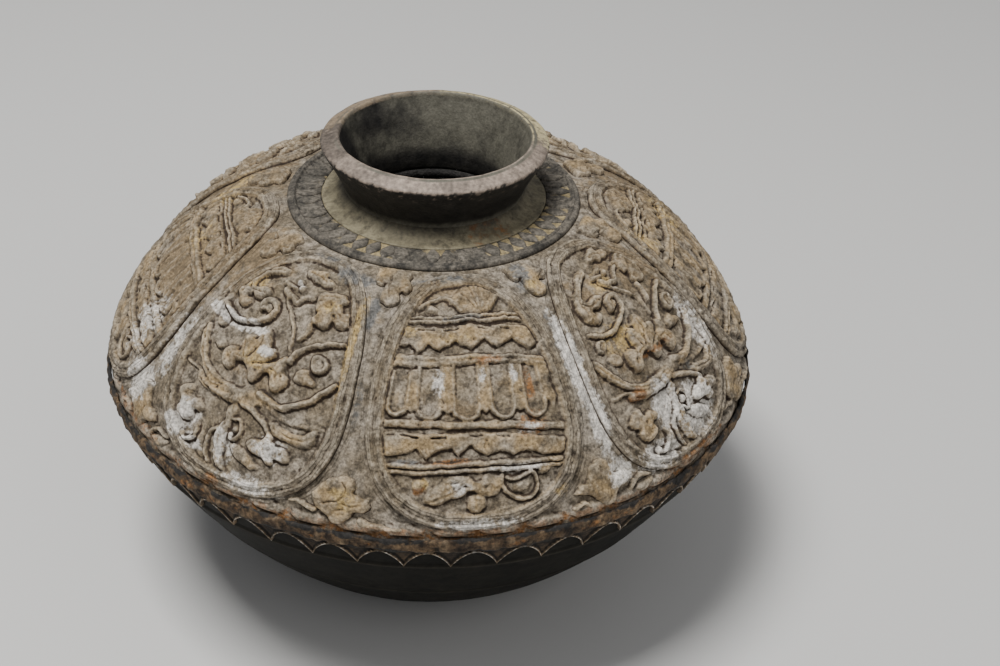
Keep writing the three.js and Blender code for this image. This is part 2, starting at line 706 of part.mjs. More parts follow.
// Low turned ring under the bowl
function footRing() {
  const inner = FOOT_RADIUS - FOOT_WIDTH;
  return turned([
    point(inner + FOOT_ROUNDING, 0),
    point(FOOT_RADIUS - FOOT_ROUNDING, 0),
    point(FOOT_RADIUS, FOOT_ROUNDING),
    point(FOOT_RADIUS - LUTING, FOOT_HEIGHT),
    point(inner, FOOT_HEIGHT),
  ]);
}

// Flattened coil pressed over the seam from the inside
function bellySeamCoil() {
  const half = SEAM_COIL_HEIGHT / 2;
  const middle = BELLY_HEIGHT + SEAM_LAP / 2;
  const shoulderInner = offsetLine(shoulderLine, 60, -SHOULDER_WALL - LUTING);
  const bowlInner = offsetLine(bowlLine, 60, -BOWL_WALL - LUTING);
  const wall = BELLY_RADIUS - Math.max(SHOULDER_WALL, BOWL_WALL) - LUTING;
  const upper = Math.min(radiusAt(shoulderInner, middle + half), wall) - LUTING;
  const lower = Math.min(radiusAt(bowlInner, middle - half), wall) - LUTING;
  return turned([
    point(lower, middle - half),
    point(wall - LUTING, middle),
    point(upper, middle + half),
    point(wall - SEAM_COIL_DEPTH, middle + half / 2),
    point(wall - SEAM_COIL_DEPTH * 1.2, middle),
    point(wall - SEAM_COIL_DEPTH, middle - half / 2),
  ]);
}

// Rounded strip over the outside of the belly seam
function bellyBorder() {
  const half = BORDER_HEIGHT / 2;
  const inner = BELLY_RADIUS + LUTING;
  const outer = BELLY_RADIUS + BORDER_DEPTH;
  const middle = BELLY_HEIGHT - BORDER_DROP;
  return turned([
    point(inner, middle - half),
    point(outer - BORDER_DEPTH / 4, middle - half * 0.7),
    point(outer, middle),
    point(outer - BORDER_DEPTH / 4, middle + half * 0.7),
    point(inner, middle + half),
  ]);
}

const SCALLOP_STEPS = 3;

// Row of thin raised arches between the belly border and the upper ridge
function scallopFrieze() {
  const outer = offsetLine(bowlLine, 240, 0);
  const lowest = BELLY_HEIGHT - SCALLOP_BOTTOM + SCALLOP_LINE;
  const highest = BELLY_HEIGHT - SCALLOP_TOP;
  const spot = (height, lift) => point(radiusAt(outer, height) + LUTING + lift, height);
  return turnedRing(SCALLOP_COUNT * SCALLOP_STEPS, (column) => {
    const swing = Math.sin(((column % SCALLOP_STEPS) / SCALLOP_STEPS) * Math.PI);
    const crest = lowest + (highest - lowest) * swing;
    const foot = crest - SCALLOP_LINE;
    return [spot(foot, 0), spot(foot, SCALLOP_RELIEF), spot(crest, SCALLOP_RELIEF), spot(crest, 0)];
  });
}

// Colour, roughness and metalness of the fired clay on each piece
const clay = (color, roughness) => new THREE.MeshStandardMaterial({ color, roughness, metalness: 0 });
const materials = {
  sooty: () => clay(0x2e2c2a, 0.62),
  khaki: () => clay(0x6e6655, 0.7),
  buff: () => clay(0xa39a86, 0.85),
  relief: () => clay(0xb3a992, 0.85),
  rust: () => clay(0x6a4f38, 0.85),
  smoked: () => clay(0x34322d, 0.55),
};

const vase = new THREE.Group();

function addPiece(name, geometry, material) {
  geometry.computeVertexNormals();
  const piece = new THREE.Mesh(geometry, material());
  piece.name = name;
  vase.add(piece);
}

addPiece("neck", neck(), materials.sooty);
addPiece("neck_collar", neckCollar(), materials.khaki);
addPiece("neck_ring", neckRing(), materials.khaki);
addPiece("shoulder", shoulder(), materials.buff);
addPiece("belly_seam_coil", bellySeamCoil(), materials.khaki);
addPiece("belly_border", bellyBorder(), materials.rust);
addPiece("scallop_frieze", scallopFrieze(), materials.rust);
addPiece("lower_bowl", lowerBowl(), materials.smoked);
addPiece("foot_ring", footRing(), materials.smoked);

for (let place = 0; place < PANEL_COUNT; place += 1) {
  const isArcade = place % 2 === 0;
  const reliefs = isArcade ? arcadeRelief() : foliateRelief();
  const name = `${isArcade ? "arcade" : "foliate"}_panel_${Math.floor(place / 2) + 1}`;
  addPiece(name, panel(reliefs, panelAzimuth(place), PANEL_SPREAD[place]), materials.relief);
  addPiece(`upper_leaf_${place + 1}`, panel(upperLeaf(), gapAzimuth(place)), materials.relief);
  addPiece(`lower_leaf_${place + 1}`, panel(lowerLeaf(), gapAzimuth(place)), materials.relief);
}

export default vase;
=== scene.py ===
"""Looks of the earthenware vase: a squat moulded jar with a dark neck and eight raised cartouches.

Metres, +Z up. Azimuths are in degrees from -Y towards +X. A place on the shoulder is an azimuth
and a share: shares run from -1 at the top of a cartouche to 1 at its bottom.
"""

import itertools
import logging
import math
from dataclasses import dataclass
from enum import Enum
from typing import Callable, ClassVar, Optional, Sequence

import bpy
import numpy as np
from mathutils import Matrix, Vector


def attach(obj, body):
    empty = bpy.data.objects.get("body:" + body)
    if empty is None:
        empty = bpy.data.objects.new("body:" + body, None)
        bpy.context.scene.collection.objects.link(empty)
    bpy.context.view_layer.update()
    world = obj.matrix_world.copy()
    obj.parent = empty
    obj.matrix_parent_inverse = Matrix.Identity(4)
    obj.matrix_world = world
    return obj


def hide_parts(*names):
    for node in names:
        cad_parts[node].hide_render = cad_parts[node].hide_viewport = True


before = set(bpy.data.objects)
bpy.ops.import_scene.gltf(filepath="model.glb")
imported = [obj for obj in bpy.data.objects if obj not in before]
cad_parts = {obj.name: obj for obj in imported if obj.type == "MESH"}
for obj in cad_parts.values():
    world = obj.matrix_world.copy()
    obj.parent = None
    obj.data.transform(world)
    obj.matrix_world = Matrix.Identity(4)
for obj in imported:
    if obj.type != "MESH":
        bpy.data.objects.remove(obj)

MM = 0.001
FULL_TURN = 360.0
LINE_SPOTS = 1500
FAR_ASIDE = 99.0
PIT_SIZE = 1.7 * MM
PIT_DEPTH = 0.25 * MM
CHIP_SIZE = 3.4 * MM
CHIP_DEPTH = 0.5 * MM

Grid = np.ndarray
Mesh = bpy.types.Mesh
Piece = bpy.types.Object
Material = bpy.types.Material
Socket = bpy.types.NodeSocket
Spot = tuple[float, float]
Part = tuple[slice, slice]
Colour = tuple[float, float, float]
Marks = dict[str, Grid]
Inputs = dict[str | int, object]
Painter = Callable[[Grid, Grid, Grid], Marks]


@dataclass(frozen=True)
class VaseSizes:
    """Driving sizes of the vase, in metres and degrees, the same as in the solids."""

    belly_radius: float = 113 * MM
    belly_height: float = 79 * MM
    shoulder_rise: float = 58 * MM
    shoulder_wall: float = 7 * MM
    bowl_wall: float = 7.5 * MM
    top_radius: float = 50 * MM
    shoulder_bulge: float = 1.72
    shoulder_fall: float = 1.44
    bowl_flat_radius: float = 56 * MM
    bowl_bulge: float = 1.6
    bowl_fall: float = 1.51
    foot_radius: float = 50 * MM
    foot_width: float = 9 * MM
    foot_height: float = 5 * MM
    neck_waist: float = 30.5 * MM
    neck_wall: float = 5.2 * MM
    rim_radius: float = 38.5 * MM
    lip_width: float = 6.5 * MM
    neck_height: float = 24.2 * MM
    collar_radius: float = 38 * MM
    collar_height: float = 5 * MM
    panel_top: float = 2.6 * MM
    panel_bottom: float = 4.4 * MM
    panel_squareness: float = 2.6
    arcade_half: float = 20.1
    foliate_half: float = 20.6
    first_panel: float = 8.2
    panel_drift: tuple[float, ...] = (0.0, -2.9, -8.0, -6.0, -3.0, 0.0, 1.8, 1.5)
    panel_spread: tuple[float, ...] = (1.0, 0.93, 1.0, 1.0, 1.0, 1.0, 1.0, 1.0)
    design_lean: tuple[float, ...] = (2.2, 6.0, 2.2, 0.0, 2.2, 0.0, 2.2, 0.0)
    design_shift: tuple[float, ...] = (0.0, 0.8, 0.0, 0.0, 0.0, 0.0, 0.0, 0.0)
    luting: float = 0.3 * MM
    lap_height: float = 4 * MM
    neck_foot_spread: float = 2.4 * MM
    neck_seat_depth: float = 3 * MM
    ring_scales: int = 54
    scallops: int = 48

    @property
    def top_height(self) -> float:
        """Height of the flat top of the shoulder."""
        return self.belly_height + self.shoulder_rise

    @property
    def rim_height(self) -> float:
        """Height of the lip."""
        return self.top_height + self.neck_height

    @property
    def panel_count(self) -> int:
        """Number of cartouches round the shoulder."""
        return len(self.panel_drift)

    def panel_half(self, place: int) -> float:
        """Half width of a panel in degrees."""
        half = self.arcade_half if place % 2 == 0 else self.foliate_half
        return half * self.panel_spread[place]

    def panel_azimuth(self, place: int) -> float:
        """Azimuth of the middle of a panel."""
        return self.first_panel + place * FULL_TURN / self.panel_count + self.panel_drift[place]


SIZES = VaseSizes()


def wrapped(azimuth: Grid, radius: Grid, height: Grid) -> Grid:
    """Points of a turned surface.

    Args:
        azimuth: Degrees round the axis.
        radius: Distance from the axis.
        height: Height over the ground.

    Returns:
        An array of points with one more axis than the arguments.
    """
    turn = np.radians(azimuth)
    parts = np.broadcast_arrays(radius * np.sin(turn), -radius * np.cos(turn), height)
    return np.stack(parts, axis=-1)


def unit(value: Grid) -> Grid:
    """Values held between 0 and 1."""
    return np.clip(value, 0, 1)


def full_turn(columns: int) -> Grid:
    """Azimuths of one row of points round the axis."""
    return (np.arange(columns) * FULL_TURN / columns)[None, :]


class BodyLine:
    """Outer line of one half of the body, known by the distance along it."""

    def __init__(self, radius: Grid, height: Grid) -> None:
        """Args:
            radius: Radii of close spots of the line.
            height: Heights of the same spots.
        """
        self.radius = radius
        self.height = height
        steps = np.hypot(np.diff(radius), np.diff(height))
        self.distance = np.concatenate(([0.0], np.cumsum(steps)))
        slope_out = np.gradient(radius, self.distance)
        slope_up = np.gradient(height, self.distance)
        size = np.hypot(slope_out, slope_up)
        self.out = -slope_up / size
        self.up = slope_out / size

    @property
    def length(self) -> float:
        """Whole length of the line."""
        return float(self.distance[-1])

    def radius_at(self, distance: Grid) -> Grid:
        """Radius at distances along the line."""
        return np.interp(distance, self.distance, self.radius)

    def lifted(self, distance: Grid, lift: Grid | float = 0.0) -> tuple[Grid, Grid]:
        """Spots that are moved out along the normal.

        Args:
            distance: Distances along the line.
            lift: How far the spots move.

        Returns:
            The radii and the heights of the spots.
        """
        radius = np.interp(distance, self.distance, self.radius)
        height = np.interp(distance, self.distance, self.height)
        out = np.interp(distance, self.distance, self.out)
        up = np.interp(distance, self.distance, self.up)
        return radius + out * lift, height + up * lift


def shoulder_line(sizes: VaseSizes) -> BodyLine:
    """Line of the shoulder, from its flat top down to the belly seam."""
    turn = np.linspace(0.0, math.pi / 2, LINE_SPOTS)
    reach = np.sin(turn) ** (2 / sizes.shoulder_bulge)
    fall = unit(np.cos(turn)) ** sizes.shoulder_fall
    radius = sizes.top_radius + (sizes.belly_radius - sizes.top_radius) * reach
    return BodyLine(radius, sizes.belly_height + sizes.shoulder_rise * fall)


def bowl_line(sizes: VaseSizes) -> BodyLine:
    """Line of the lower bowl, from the belly seam down to the flat underside."""
    turn = np.linspace(0.0, math.pi / 2, LINE_SPOTS)
    reach = unit(np.cos(turn)) ** sizes.bowl_bulge
    drop = np.sin(turn) ** sizes.bowl_fall
    radius = sizes.bowl_flat_radius + (sizes.belly_radius - sizes.bowl_flat_radius) * reach
    return BodyLine(radius, sizes.belly_height - (sizes.belly_height - sizes.foot_height) * drop)


BORDER_DROP = 0.4 * MM
SHOULDER = shoulder_line(SIZES)
BOWL = bowl_line(SIZES)
PANEL_HALF = (SHOULDER.length - SIZES.panel_top - SIZES.panel_bottom) / 2
PANEL_MIDDLE = SIZES.panel_top + PANEL_HALF


def down(share: Grid) -> Grid:
    """Distance down the shoulder at a share."""
    return PANEL_MIDDLE + share * PANEL_HALF


def share_of(distance: float) -> float:
    """Share at a distance down the shoulder."""
    return (distance - PANEL_MIDDLE) / PANEL_HALF


def bumps(points: Grid, size: float, seed: int) -> Grid:
    """Smooth noise over space.

    Args:
        points: Points, with their coordinates on the last axis.
        size: Distance from bump to bump.
        seed: Number that picks the pattern.

    Returns:
        Values from -1 to 1.
    """
    place = points / size + 64.0 * seed
    cell = np.floor(place).astype(np.int64)
    inner = place - cell
    blend = inner * inner * (3 - 2 * inner)
    total = np.zeros(points.shape[:-1])
    for corner in itertools.product((0, 1), repeat=3):
        x, y, z = np.moveaxis(cell + np.array(corner), -1, 0)
        mixed = (x * 73856093) ^ (y * 19349663) ^ (z * 83492791)
        mixed = (mixed ^ (mixed >> 13)) * 1274126177
        value = ((mixed ^ (mixed >> 16)) & 0xFFFF) / 32767.5 - 1
        weight = np.where(np.array(corner) == 1, blend, 1 - blend).prod(axis=-1)
        total += weight * value
    return total


def rough(points: Grid, size: float, seed: int, layers: int = 3) -> Grid:
    """Layered noise whose layers halve in size and strength, from about -1 to 1."""
    total = np.zeros(points.shape[:-1])
    for layer in range(layers):
        total += bumps(points, size / 2**layer, seed + layer) / 2**layer
    return total


def ramp(value: Grid, low: float, high: float) -> Grid:
    """Soft step from 0 at low to 1 at high."""
    share = unit((value - low) / (high - low))
    return share * share * (3 - 2 * share)


def dome(share: Grid, power: float = 0.5) -> Grid:
    """Round back of a stroke: 1 over its middle, and 0 from a share of 1 outwards."""
    return unit(1 - share**2) ** power


def beside(gap: Grid, spread: float) -> Grid:
    """Soft weight that falls off on both sides of a line or a place."""
    return np.exp(-((gap / spread) ** 2))


def softened(grid: Grid, passes: int, around: bool = False) -> Grid:
    """Blurs a grid.

    Args:
        grid: Rows and columns of values.
        passes: How many times each value is mixed with its neighbours.
        around: Whether the last column meets the first one.

    Returns:
        A new grid.
    """
    result = grid.copy()
    for _ in range(passes):
        padded = np.pad(result, ((1, 1), (0, 0)), mode="edge")
        result = (padded[:-2] + 2 * result + padded[2:]) / 4
        padded = np.pad(result, ((0, 0), (1, 1)), mode="wrap" if around else "edge")
        result = (padded[:, :-2] + 2 * result + padded[:, 2:]) / 4
    return result


def smooth_line(spots: Sequence[Spot], steps: int = 5) -> Grid:
    """Smooth curve through spots.

    Args:
        spots: Spots that the curve passes.
        steps: Number of corners for each stretch.

    Returns:
        The corners of the curve.
    """
    given = np.array(spots, float)
    if len(given) < 3:
        return given
    ends = np.vstack((2 * given[0] - given[1], given, 2 * given[-1] - given[-2]))
    share = (np.arange(steps) / steps)[:, None]
    corners = []
    for before, start, end, after in zip(ends, ends[1:], ends[2:], ends[3:]):
        linear = (end - before) * share
        square = (2 * before - 5 * start + 4 * end - after) * share**2
        cube = (3 * start - before - 3 * end + after) * share**3
        corners.append(start + (linear + square + cube) / 2)
    return np.vstack((*corners, given[-1:]))


def make_mesh(name: str, points: Grid, faces: Sequence[Grid]) -> Mesh:
    """Mesh with smooth faces that point outwards.

    Args:
        name: Name of the mesh.
        points: Corner points.
        faces: Arrays of faces; the faces of one array have the same number of corners.

    Returns:
        The mesh.
    """
    flat = [np.asarray(group, np.int32) for group in faces if len(group)]
    corners = np.concatenate([group.ravel() for group in flat])
    sizes = np.concatenate([np.full(len(group), group.shape[1], np.int32) for group in flat])
    starts = np.concatenate(([0], np.cumsum(sizes)[:-1])).astype(np.int32)
    mesh = bpy.data.meshes.new(name)
    mesh.vertices.add(len(points))
    mesh.vertices.foreach_set("co", np.asarray(points, np.float32).ravel())
    mesh.loops.add(len(corners))
    mesh.loops.foreach_set("vertex_index", corners)
    mesh.polygons.add(len(sizes))
    mesh.polygons.foreach_set("loop_start", starts)
    mesh.polygons.foreach_set("use_smooth", np.ones(len(sizes), bool))
    mesh.update(calc_edges=True)
    mesh.validate()
    if signed_volume(mesh) < 0:
        mesh.flip_normals()
    return mesh


def signed_volume(mesh: Mesh) -> float:
    """Volume inside a closed mesh, below 0 where its faces point inwards."""
    mesh.calc_loop_triangles()
    corners = np.empty(len(mesh.loop_triangles) * 3, np.int32)
    mesh.loop_triangles.foreach_get("vertices", corners)
    points = np.empty(len(mesh.vertices) * 3, np.float32)
    mesh.vertices.foreach_get("co", points)
    triangles = points.reshape(-1, 3)[corners.reshape(-1, 3)].astype(float)
    first, second, third = np.moveaxis(triangles, 1, 0)
    return float(np.einsum("ij,ij->i", first, np.cross(second, third)).sum() / 6)


def set_values(mesh: Mesh, name: str, values: Grid) -> None:
    """Stores one number for each corner point of a mesh."""
    layer = mesh.attributes.new(name, "FLOAT", "POINT")
    layer.data.foreach_set("value", np.asarray(values, np.float32).ravel())


def grid_faces(indices: Grid, close_rows: bool, close_columns: bool) -> Grid:
    """Four-sided faces between the neighbours of a grid of point numbers."""
    grid = indices
    if close_rows:
        grid = np.vstack((grid, grid[:1]))
    if close_columns:
        grid = np.hstack((grid, grid[:, :1]))
    corners = (grid[:-1, :-1], grid[1:, :-1], grid[1:, 1:], grid[:-1, 1:])
    return np.stack([corner.ravel() for corner in corners], axis=-1)


def turned_mesh(name: str, points: Grid, capped: bool = False) -> Mesh:
    """Closed mesh from rows of points round the axis.

    Args:
        name: Name of the mesh.
        points: Rows that follow the section of the piece, each with its points round the axis.
        capped: Whether the first and last rows close on the axis instead of meeting.

    Returns:
        The mesh.
    """
    rows, columns = points.shape[:2]
    indices = np.arange(rows * columns).reshape(rows, columns)
    if not capped:
        return make_mesh(name, points.reshape(-1, 3), [grid_faces(indices, True, True)])
    poles = np.array([points[0].mean(axis=0), points[-1].mean(axis=0)])
    low, high = rows * columns, rows * columns + 1
    first, last = indices[0], indices[-1]
    fans = np.vstack((
        np.stack((np.full(columns, low), first, np.roll(first, -1)), axis=-1),
        np.stack((np.full(columns, high), np.roll(last, -1), last), axis=-1),
    ))
    every = np.vstack((points.reshape(-1, 3), poles))
    return make_mesh(name, every, [grid_faces(indices, False, True), fans])


def sheet_mesh(name: str, front: Grid, back: Grid, stride: int = 6) -> Mesh:
    """Closed mesh of a thin relief with a fine face and a coarse back.

    Args:
        name: Name of the mesh.
        front: Grid of points of the face.
        back: Grid of points behind the face, of the same size.
        stride: Size of a cell of the back, counted in cells of the face; it divides the grid.

    Returns:
        The mesh.
    """
    rows, columns = front.shape[:2]
    face = np.arange(rows * columns).reshape(rows, columns)
    rear = np.full((rows, columns), -1)
    kept = np.zeros((rows, columns), bool)
    kept[::stride, ::stride] = True
    kept[[0, -1], :] = True
    kept[:, [0, -1]] = True
    rear[kept] = rows * columns + np.arange(kept.sum())
    rim = np.array(
        [(0, column) for column in range(columns - 1)]
        + [(row, columns - 1) for row in range(rows - 1)]
        + [(rows - 1, column) for column in range(columns - 1, 0, -1)]
        + [(row, 0) for row in range(rows - 1, 0, -1)]
    )
    near = face[rim[:, 0], rim[:, 1]]
    far = rear[rim[:, 0], rim[:, 1]]
    sides = np.stack((near, np.roll(near, -1), np.roll(far, -1), far), axis=-1)
    groups: dict[int, list[Grid]] = {}
    for row in range(0, rows - 1, stride):
        for column in range(0, columns - 1, stride):
            block = rear[row : row + stride + 1, column : column + stride + 1]
            edge = np.concatenate((block[0, :-1], block[:-1, -1], block[-1, :0:-1], block[:0:-1, 0]))
            loop = edge[edge >= 0]
            groups.setdefault(len(loop), []).append(loop)
    faces = [grid_faces(face, False, False), sides]
    faces += [np.array(loops) for loops in groups.values()]
    points = np.vstack((front.reshape(-1, 3), back[kept]))
    return make_mesh(name, points, faces)


def add_object(name: str, data: bpy.types.ID) -> Piece:
    """Puts a mesh, a lamp or a camera into the scene under a name."""
    piece = bpy.data.objects.new(name, data)
    bpy.context.scene.collection.objects.link(piece)
    return piece


def finish_piece(piece: Piece, node: str, material: Material) -> None:
    """Dresses a piece and lets it stand for its solid.

    Args:
        piece: The finished piece.
        node: Name of the solid.
        material: Finish of the piece.
    """
    piece.data.materials.clear()
    piece.data.materials.append(material)
    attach(piece, "root")
    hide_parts(node)
    logging.info("%s: %d faces", piece.name, len(piece.data.polygons))


LIME = (0.57, 0.53, 0.47)
OCHRE = (0.4, 0.28, 0.115)
RUST = (0.23, 0.11, 0.04)
EARTH = (0.185, 0.135, 0.078)
SLATE = (0.13, 0.125, 0.115)
# Near black, for real sooting and for painted shade: inside the shell, at the ring's scale tips, along the
# border's edges and on the fillet's front.
SOOT_AND_SHADE = (0.02, 0.018, 0.016)


@dataclass(frozen=True)
class ClayFinish:
    """Linear colours and surface of one kind of fired clay, with the fine lines beside the frames.

    The grain and the height of the lines are in metres, their spacing and reach in millimetres.
    """

    name: str
    pale: Colour
    middle: Colour
    deep: Colour
    # worn is the pale crest colour, for wear and a painted highlight; hollow is the colour of painted shade
    # in the hollows, and on the neck its olive inside.
    worn: Colour
    hollow: Colour
    warm: Colour = (0.29, 0.205, 0.105)
    mottling: float = 0.36
    wear: float = 0.6
    roughness: float = 0.8
    gloss_change: float = 0.1
    grain: float = 0.0003
    grain_size: float = 0.0012
    line_height: float = 0.0
    line_spacing: float = 1.5
    line_reach: float = 4.5
    specular: float = 0.3
    ochre: Colour = OCHRE


RELIEF_CLAY = ClayFinish(
    "relief clay", pale=(0.24, 0.203, 0.155), middle=(0.162, 0.127, 0.081),
    deep=(0.088, 0.067, 0.043), worn=(0.385, 0.326, 0.243), hollow=(0.035, 0.022, 0.013),
    grain=0.0006, grain_size=0.0014, line_height=0.00015, line_spacing=1.1, line_reach=7.0,
)
GROUND_CLAY = ClayFinish(
    "ground clay", pale=(0.256, 0.22, 0.173), middle=(0.173, 0.138, 0.093),
    deep=(0.1, 0.079, 0.052), worn=(0.4, 0.346, 0.27), hollow=(0.04, 0.026, 0.016), grain=0.0006,
    grain_size=0.0014, line_height=0.0002,
)
BORDER_CLAY = ClayFinish(
    "border clay", pale=(0.13, 0.084, 0.045), middle=(0.038, 0.024, 0.014),
    deep=(0.014, 0.0095, 0.0065), worn=(0.25, 0.188, 0.117), hollow=(0.008, 0.006, 0.004),
)
RING_CLAY = ClayFinish(
    "ring clay", pale=(0.122, 0.106, 0.084), middle=(0.07, 0.062, 0.05), deep=(0.04, 0.037, 0.031),
    worn=(0.185, 0.163, 0.13), hollow=(0.04, 0.03, 0.02), ochre=(0.24, 0.188, 0.098),
)
COLLAR_CLAY = ClayFinish(
    "collar clay", pale=(0.225, 0.196, 0.124), middle=(0.155, 0.134, 0.084),
    deep=(0.095, 0.081, 0.052), worn=(0.26, 0.22, 0.15), hollow=(0.05, 0.04, 0.028), mottling=0.14,
    roughness=0.62, grain=0.00012,
)
NECK_CLAY = ClayFinish(
    "neck clay", pale=(0.021, 0.019, 0.016), middle=(0.013, 0.012, 0.0105),
    deep=(0.008, 0.0075, 0.007), worn=(0.33, 0.262, 0.207), hollow=(0.105, 0.098, 0.075),
    mottling=0.16, wear=1.0, roughness=0.6, grain=0.0002, grain_size=0.0009,
    ochre=(0.44, 0.38, 0.2),
)
# Near black: smoked, burnished clay, darkened past the clay's own tone as painted shade on the lower bowl.
BOWL_CLAY = ClayFinish(
    "bowl clay", pale=(0.012, 0.011, 0.0085), middle=(0.008, 0.0075, 0.006),
    deep=(0.005, 0.0047, 0.004), worn=(0.05, 0.045, 0.036), hollow=(0.005, 0.005, 0.004),
    mottling=0.12, roughness=0.62, grain=0.00004, specular=0.06,
)


@dataclass(frozen=True)
class Cloud:
    """Noise over the clay: the size of its bumps in metres, its detail, its warp and its harshness."""

    size: float
    detail: float = 4.0
    warp: float = 0.0
    harshness: float = 0.5


BROAD_CLOUD = Cloud(0.014, 6.0, 0.4, 0.6)
MOTTLE = Cloud(0.0035, 8.0, 0.0, 0.7)
SPECK = Cloud(0.0009, 4.0, 0.0, 0.6)
WARM_CLOUD = Cloud(0.008, 6.0)
RAGGED_CREST = Cloud(0.0012, 6.0, 0.0, 0.7)
GLOSS_CLOUD = Cloud(0.003, 3.0)
LINE_WAVER = Cloud(0.006, 3.0)
LINE_WAVER_HEIGHT = 2.2
LINE_FADE = 2.0
PATCH_SIZES = {"earth": 0.005, "slate": 0.003, "ochre": 0.003, "rust": 0.0025, "lime": 0.002, "soot": 0.004}
PATCH_CONTRAST = 2.2
PATCH_LIFT = -0.35
PATCH_STEP = (0.38, 0.7)
EVEN_STEP = (0.32, 0.68)


class NodeSheet:
    """Adds and joins the nodes of one tree."""

    def __init__(self, tree: bpy.types.NodeTree) -> None:
        """Args:
            tree: The tree, which starts empty.
        """
        self.tree = tree

    def add(self, kind: str, inputs: Optional[Inputs] = None, **values: object) -> bpy.types.Node:
        """Adds a node.

        Args:
            kind: Type of the node.
            inputs: Sockets, numbers or colours for its inputs, by their names or numbers.
            values: Its properties.

        Returns:
            The new node.
        """
        node = self.tree.nodes.new(kind)
        for key, value in values.items():
            setattr(node, key, value)
        for key, source in (inputs or {}).items():
            self.join(source, node.inputs[key])
        return node

    def join(self, source: object, target: Socket) -> None:
        """Links a socket, or writes a number or colour into the target."""
        if isinstance(source, Socket):
            self.tree.links.new(source, target)
        elif isinstance(source, tuple) and len(source) == 3:
            target.default_value = (*source, 1.0)
        else:
            target.default_value = source


class ShaderSheet(NodeSheet):
    """Adds and joins the shader nodes of one material."""

    def __init__(self, name: str) -> None:
        """Args:
            name: Name of the material.
        """
        self.material = bpy.data.materials.new(name)
        self.material.use_nodes = True
        self.material.node_tree.nodes.clear()
        super().__init__(self.material.node_tree)
        self.place = self.add("ShaderNodeTexCoord").outputs["Object"]

    def noise(self, cloud: Cloud) -> Socket:
        """Noise over the object."""
        inputs = {"Scale": 1 / cloud.size, "Detail": cloud.detail, "Roughness": cloud.harshness}
        inputs |= {"Distortion": cloud.warp, "Vector": self.place}
        return self.add("ShaderNodeTexNoise", inputs).outputs["Fac"]

    def attribute(self, name: str) -> Socket:
        """Number that the mesh stores under a name."""
        return self.add("ShaderNodeAttribute", attribute_name=name).outputs["Fac"]

    def maths(self, operation: str, first: object, second: object = 0.0) -> Socket:
        """Result of a sum on two numbers or sockets."""
        return self.add("ShaderNodeMath", {0: first, 1: second}, operation=operation).outputs[0]

    def step(
        self, value: object, low: float, high: float, least: float = 0.0, most: float = 1.0
    ) -> Socket:
        """Soft step from the least to the most number between two values."""
        inputs = {"Value": value, "From Min": low, "From Max": high, "To Min": least, "To Max": most}
        return self.add("ShaderNodeMapRange", inputs, interpolation_type="SMOOTHSTEP").outputs["Result"]

    def blend(self, share: object, first: object, second: object, kind: str = "MIX") -> Socket:
        """Mix of two colours."""
        inputs = {"Factor": share, 6: first, 7: second}
        return self.add("ShaderNodeMix", inputs, data_type="RGBA", blend_type=kind).outputs[2]

    def patched(self, tone: object, name: str, colour: Colour) -> Socket:
        """A colour with patches of stain on it, where the mesh stores a weight under their name."""
        cloud = Cloud(PATCH_SIZES[name], 8.0, 0.0, 0.7)
        ragged = self.maths("MULTIPLY", self.noise(cloud), PATCH_CONTRAST)
        ragged = self.maths("ADD", ragged, PATCH_LIFT)
        weight = self.maths("MULTIPLY", ragged, self.attribute(name))
        return self.blend(self.step(weight, *PATCH_STEP), tone, colour)

    def shown(self, shader: bpy.types.Node) -> Material:
        """The material, which shows a shader."""
        self.add("ShaderNodeOutputMaterial", {"Surface": shader.outputs["BSDF"]})
        return self.material


def clay_tone(sheet: ShaderSheet, finish: ClayFinish) -> Socket:
    """Colour of fired clay with mottling and stains; paler crests for wear and a painted highlight; near
    black for sooting and for painted shade; painted shade in its hollows and painted shadow under lower
    edges.
    """
    cloud = sheet.noise(BROAD_CLOUD)
    mottle = sheet.noise(MOTTLE)
    speck = sheet.noise(SPECK)
    tone = sheet.blend(sheet.step(cloud, 0.35, 0.65), finish.middle, finish.pale)
    tone = sheet.blend(sheet.step(mottle, 0.56, 0.3), tone, finish.deep)
    warm = sheet.step(sheet.noise(WARM_CLOUD), 0.36, 0.6)
    warm = sheet.maths("MULTIPLY", sheet.attribute("raised"), warm)
    tone = sheet.blend(warm, tone, finish.warm)
    for name, colour in (("earth", EARTH), ("slate", SLATE), ("ochre", finish.ochre), ("rust", RUST)):
        tone = sheet.patched(tone, name, colour)
    # Paler crests: partly wear, partly a painted highlight on the ridges.
    ragged = sheet.maths("ADD", sheet.noise(RAGGED_CREST), 0.5)
    worn = sheet.maths("MULTIPLY", sheet.maths("MULTIPLY", sheet.attribute("crest"), ragged), finish.wear)
    tone = sheet.blend(worn, tone, finish.worn)
    tone = sheet.patched(tone, "lime", LIME)
    # Near black: sooting, and painted shade inside the shell, at the scale tips and along the border's
    # edges.
    tone = sheet.patched(tone, "soot", SOOT_AND_SHADE)
    tone = sheet.blend(sheet.attribute("smoke_and_shade"), tone, SOOT_AND_SHADE)
    # Painted shade in the hollows and painted shadow under lower edges, with some grime; on the neck this
    # colour is its olive inside.
    hollow = sheet.maths("MULTIPLY", sheet.attribute("hollow"), sheet.maths("ADD", mottle, 0.55))
    tone = sheet.blend(sheet.step(hollow, 0.08, 0.75), tone, finish.hollow)
    least, most = 1 - finish.mottling, 1 + finish.mottling
    tone = sheet.blend(1.0, tone, sheet.step(mottle, *EVEN_STEP, least, most), "MULTIPLY")
    return sheet.blend(1.0, tone, sheet.step(speck, *EVEN_STEP, least, most), "MULTIPLY")


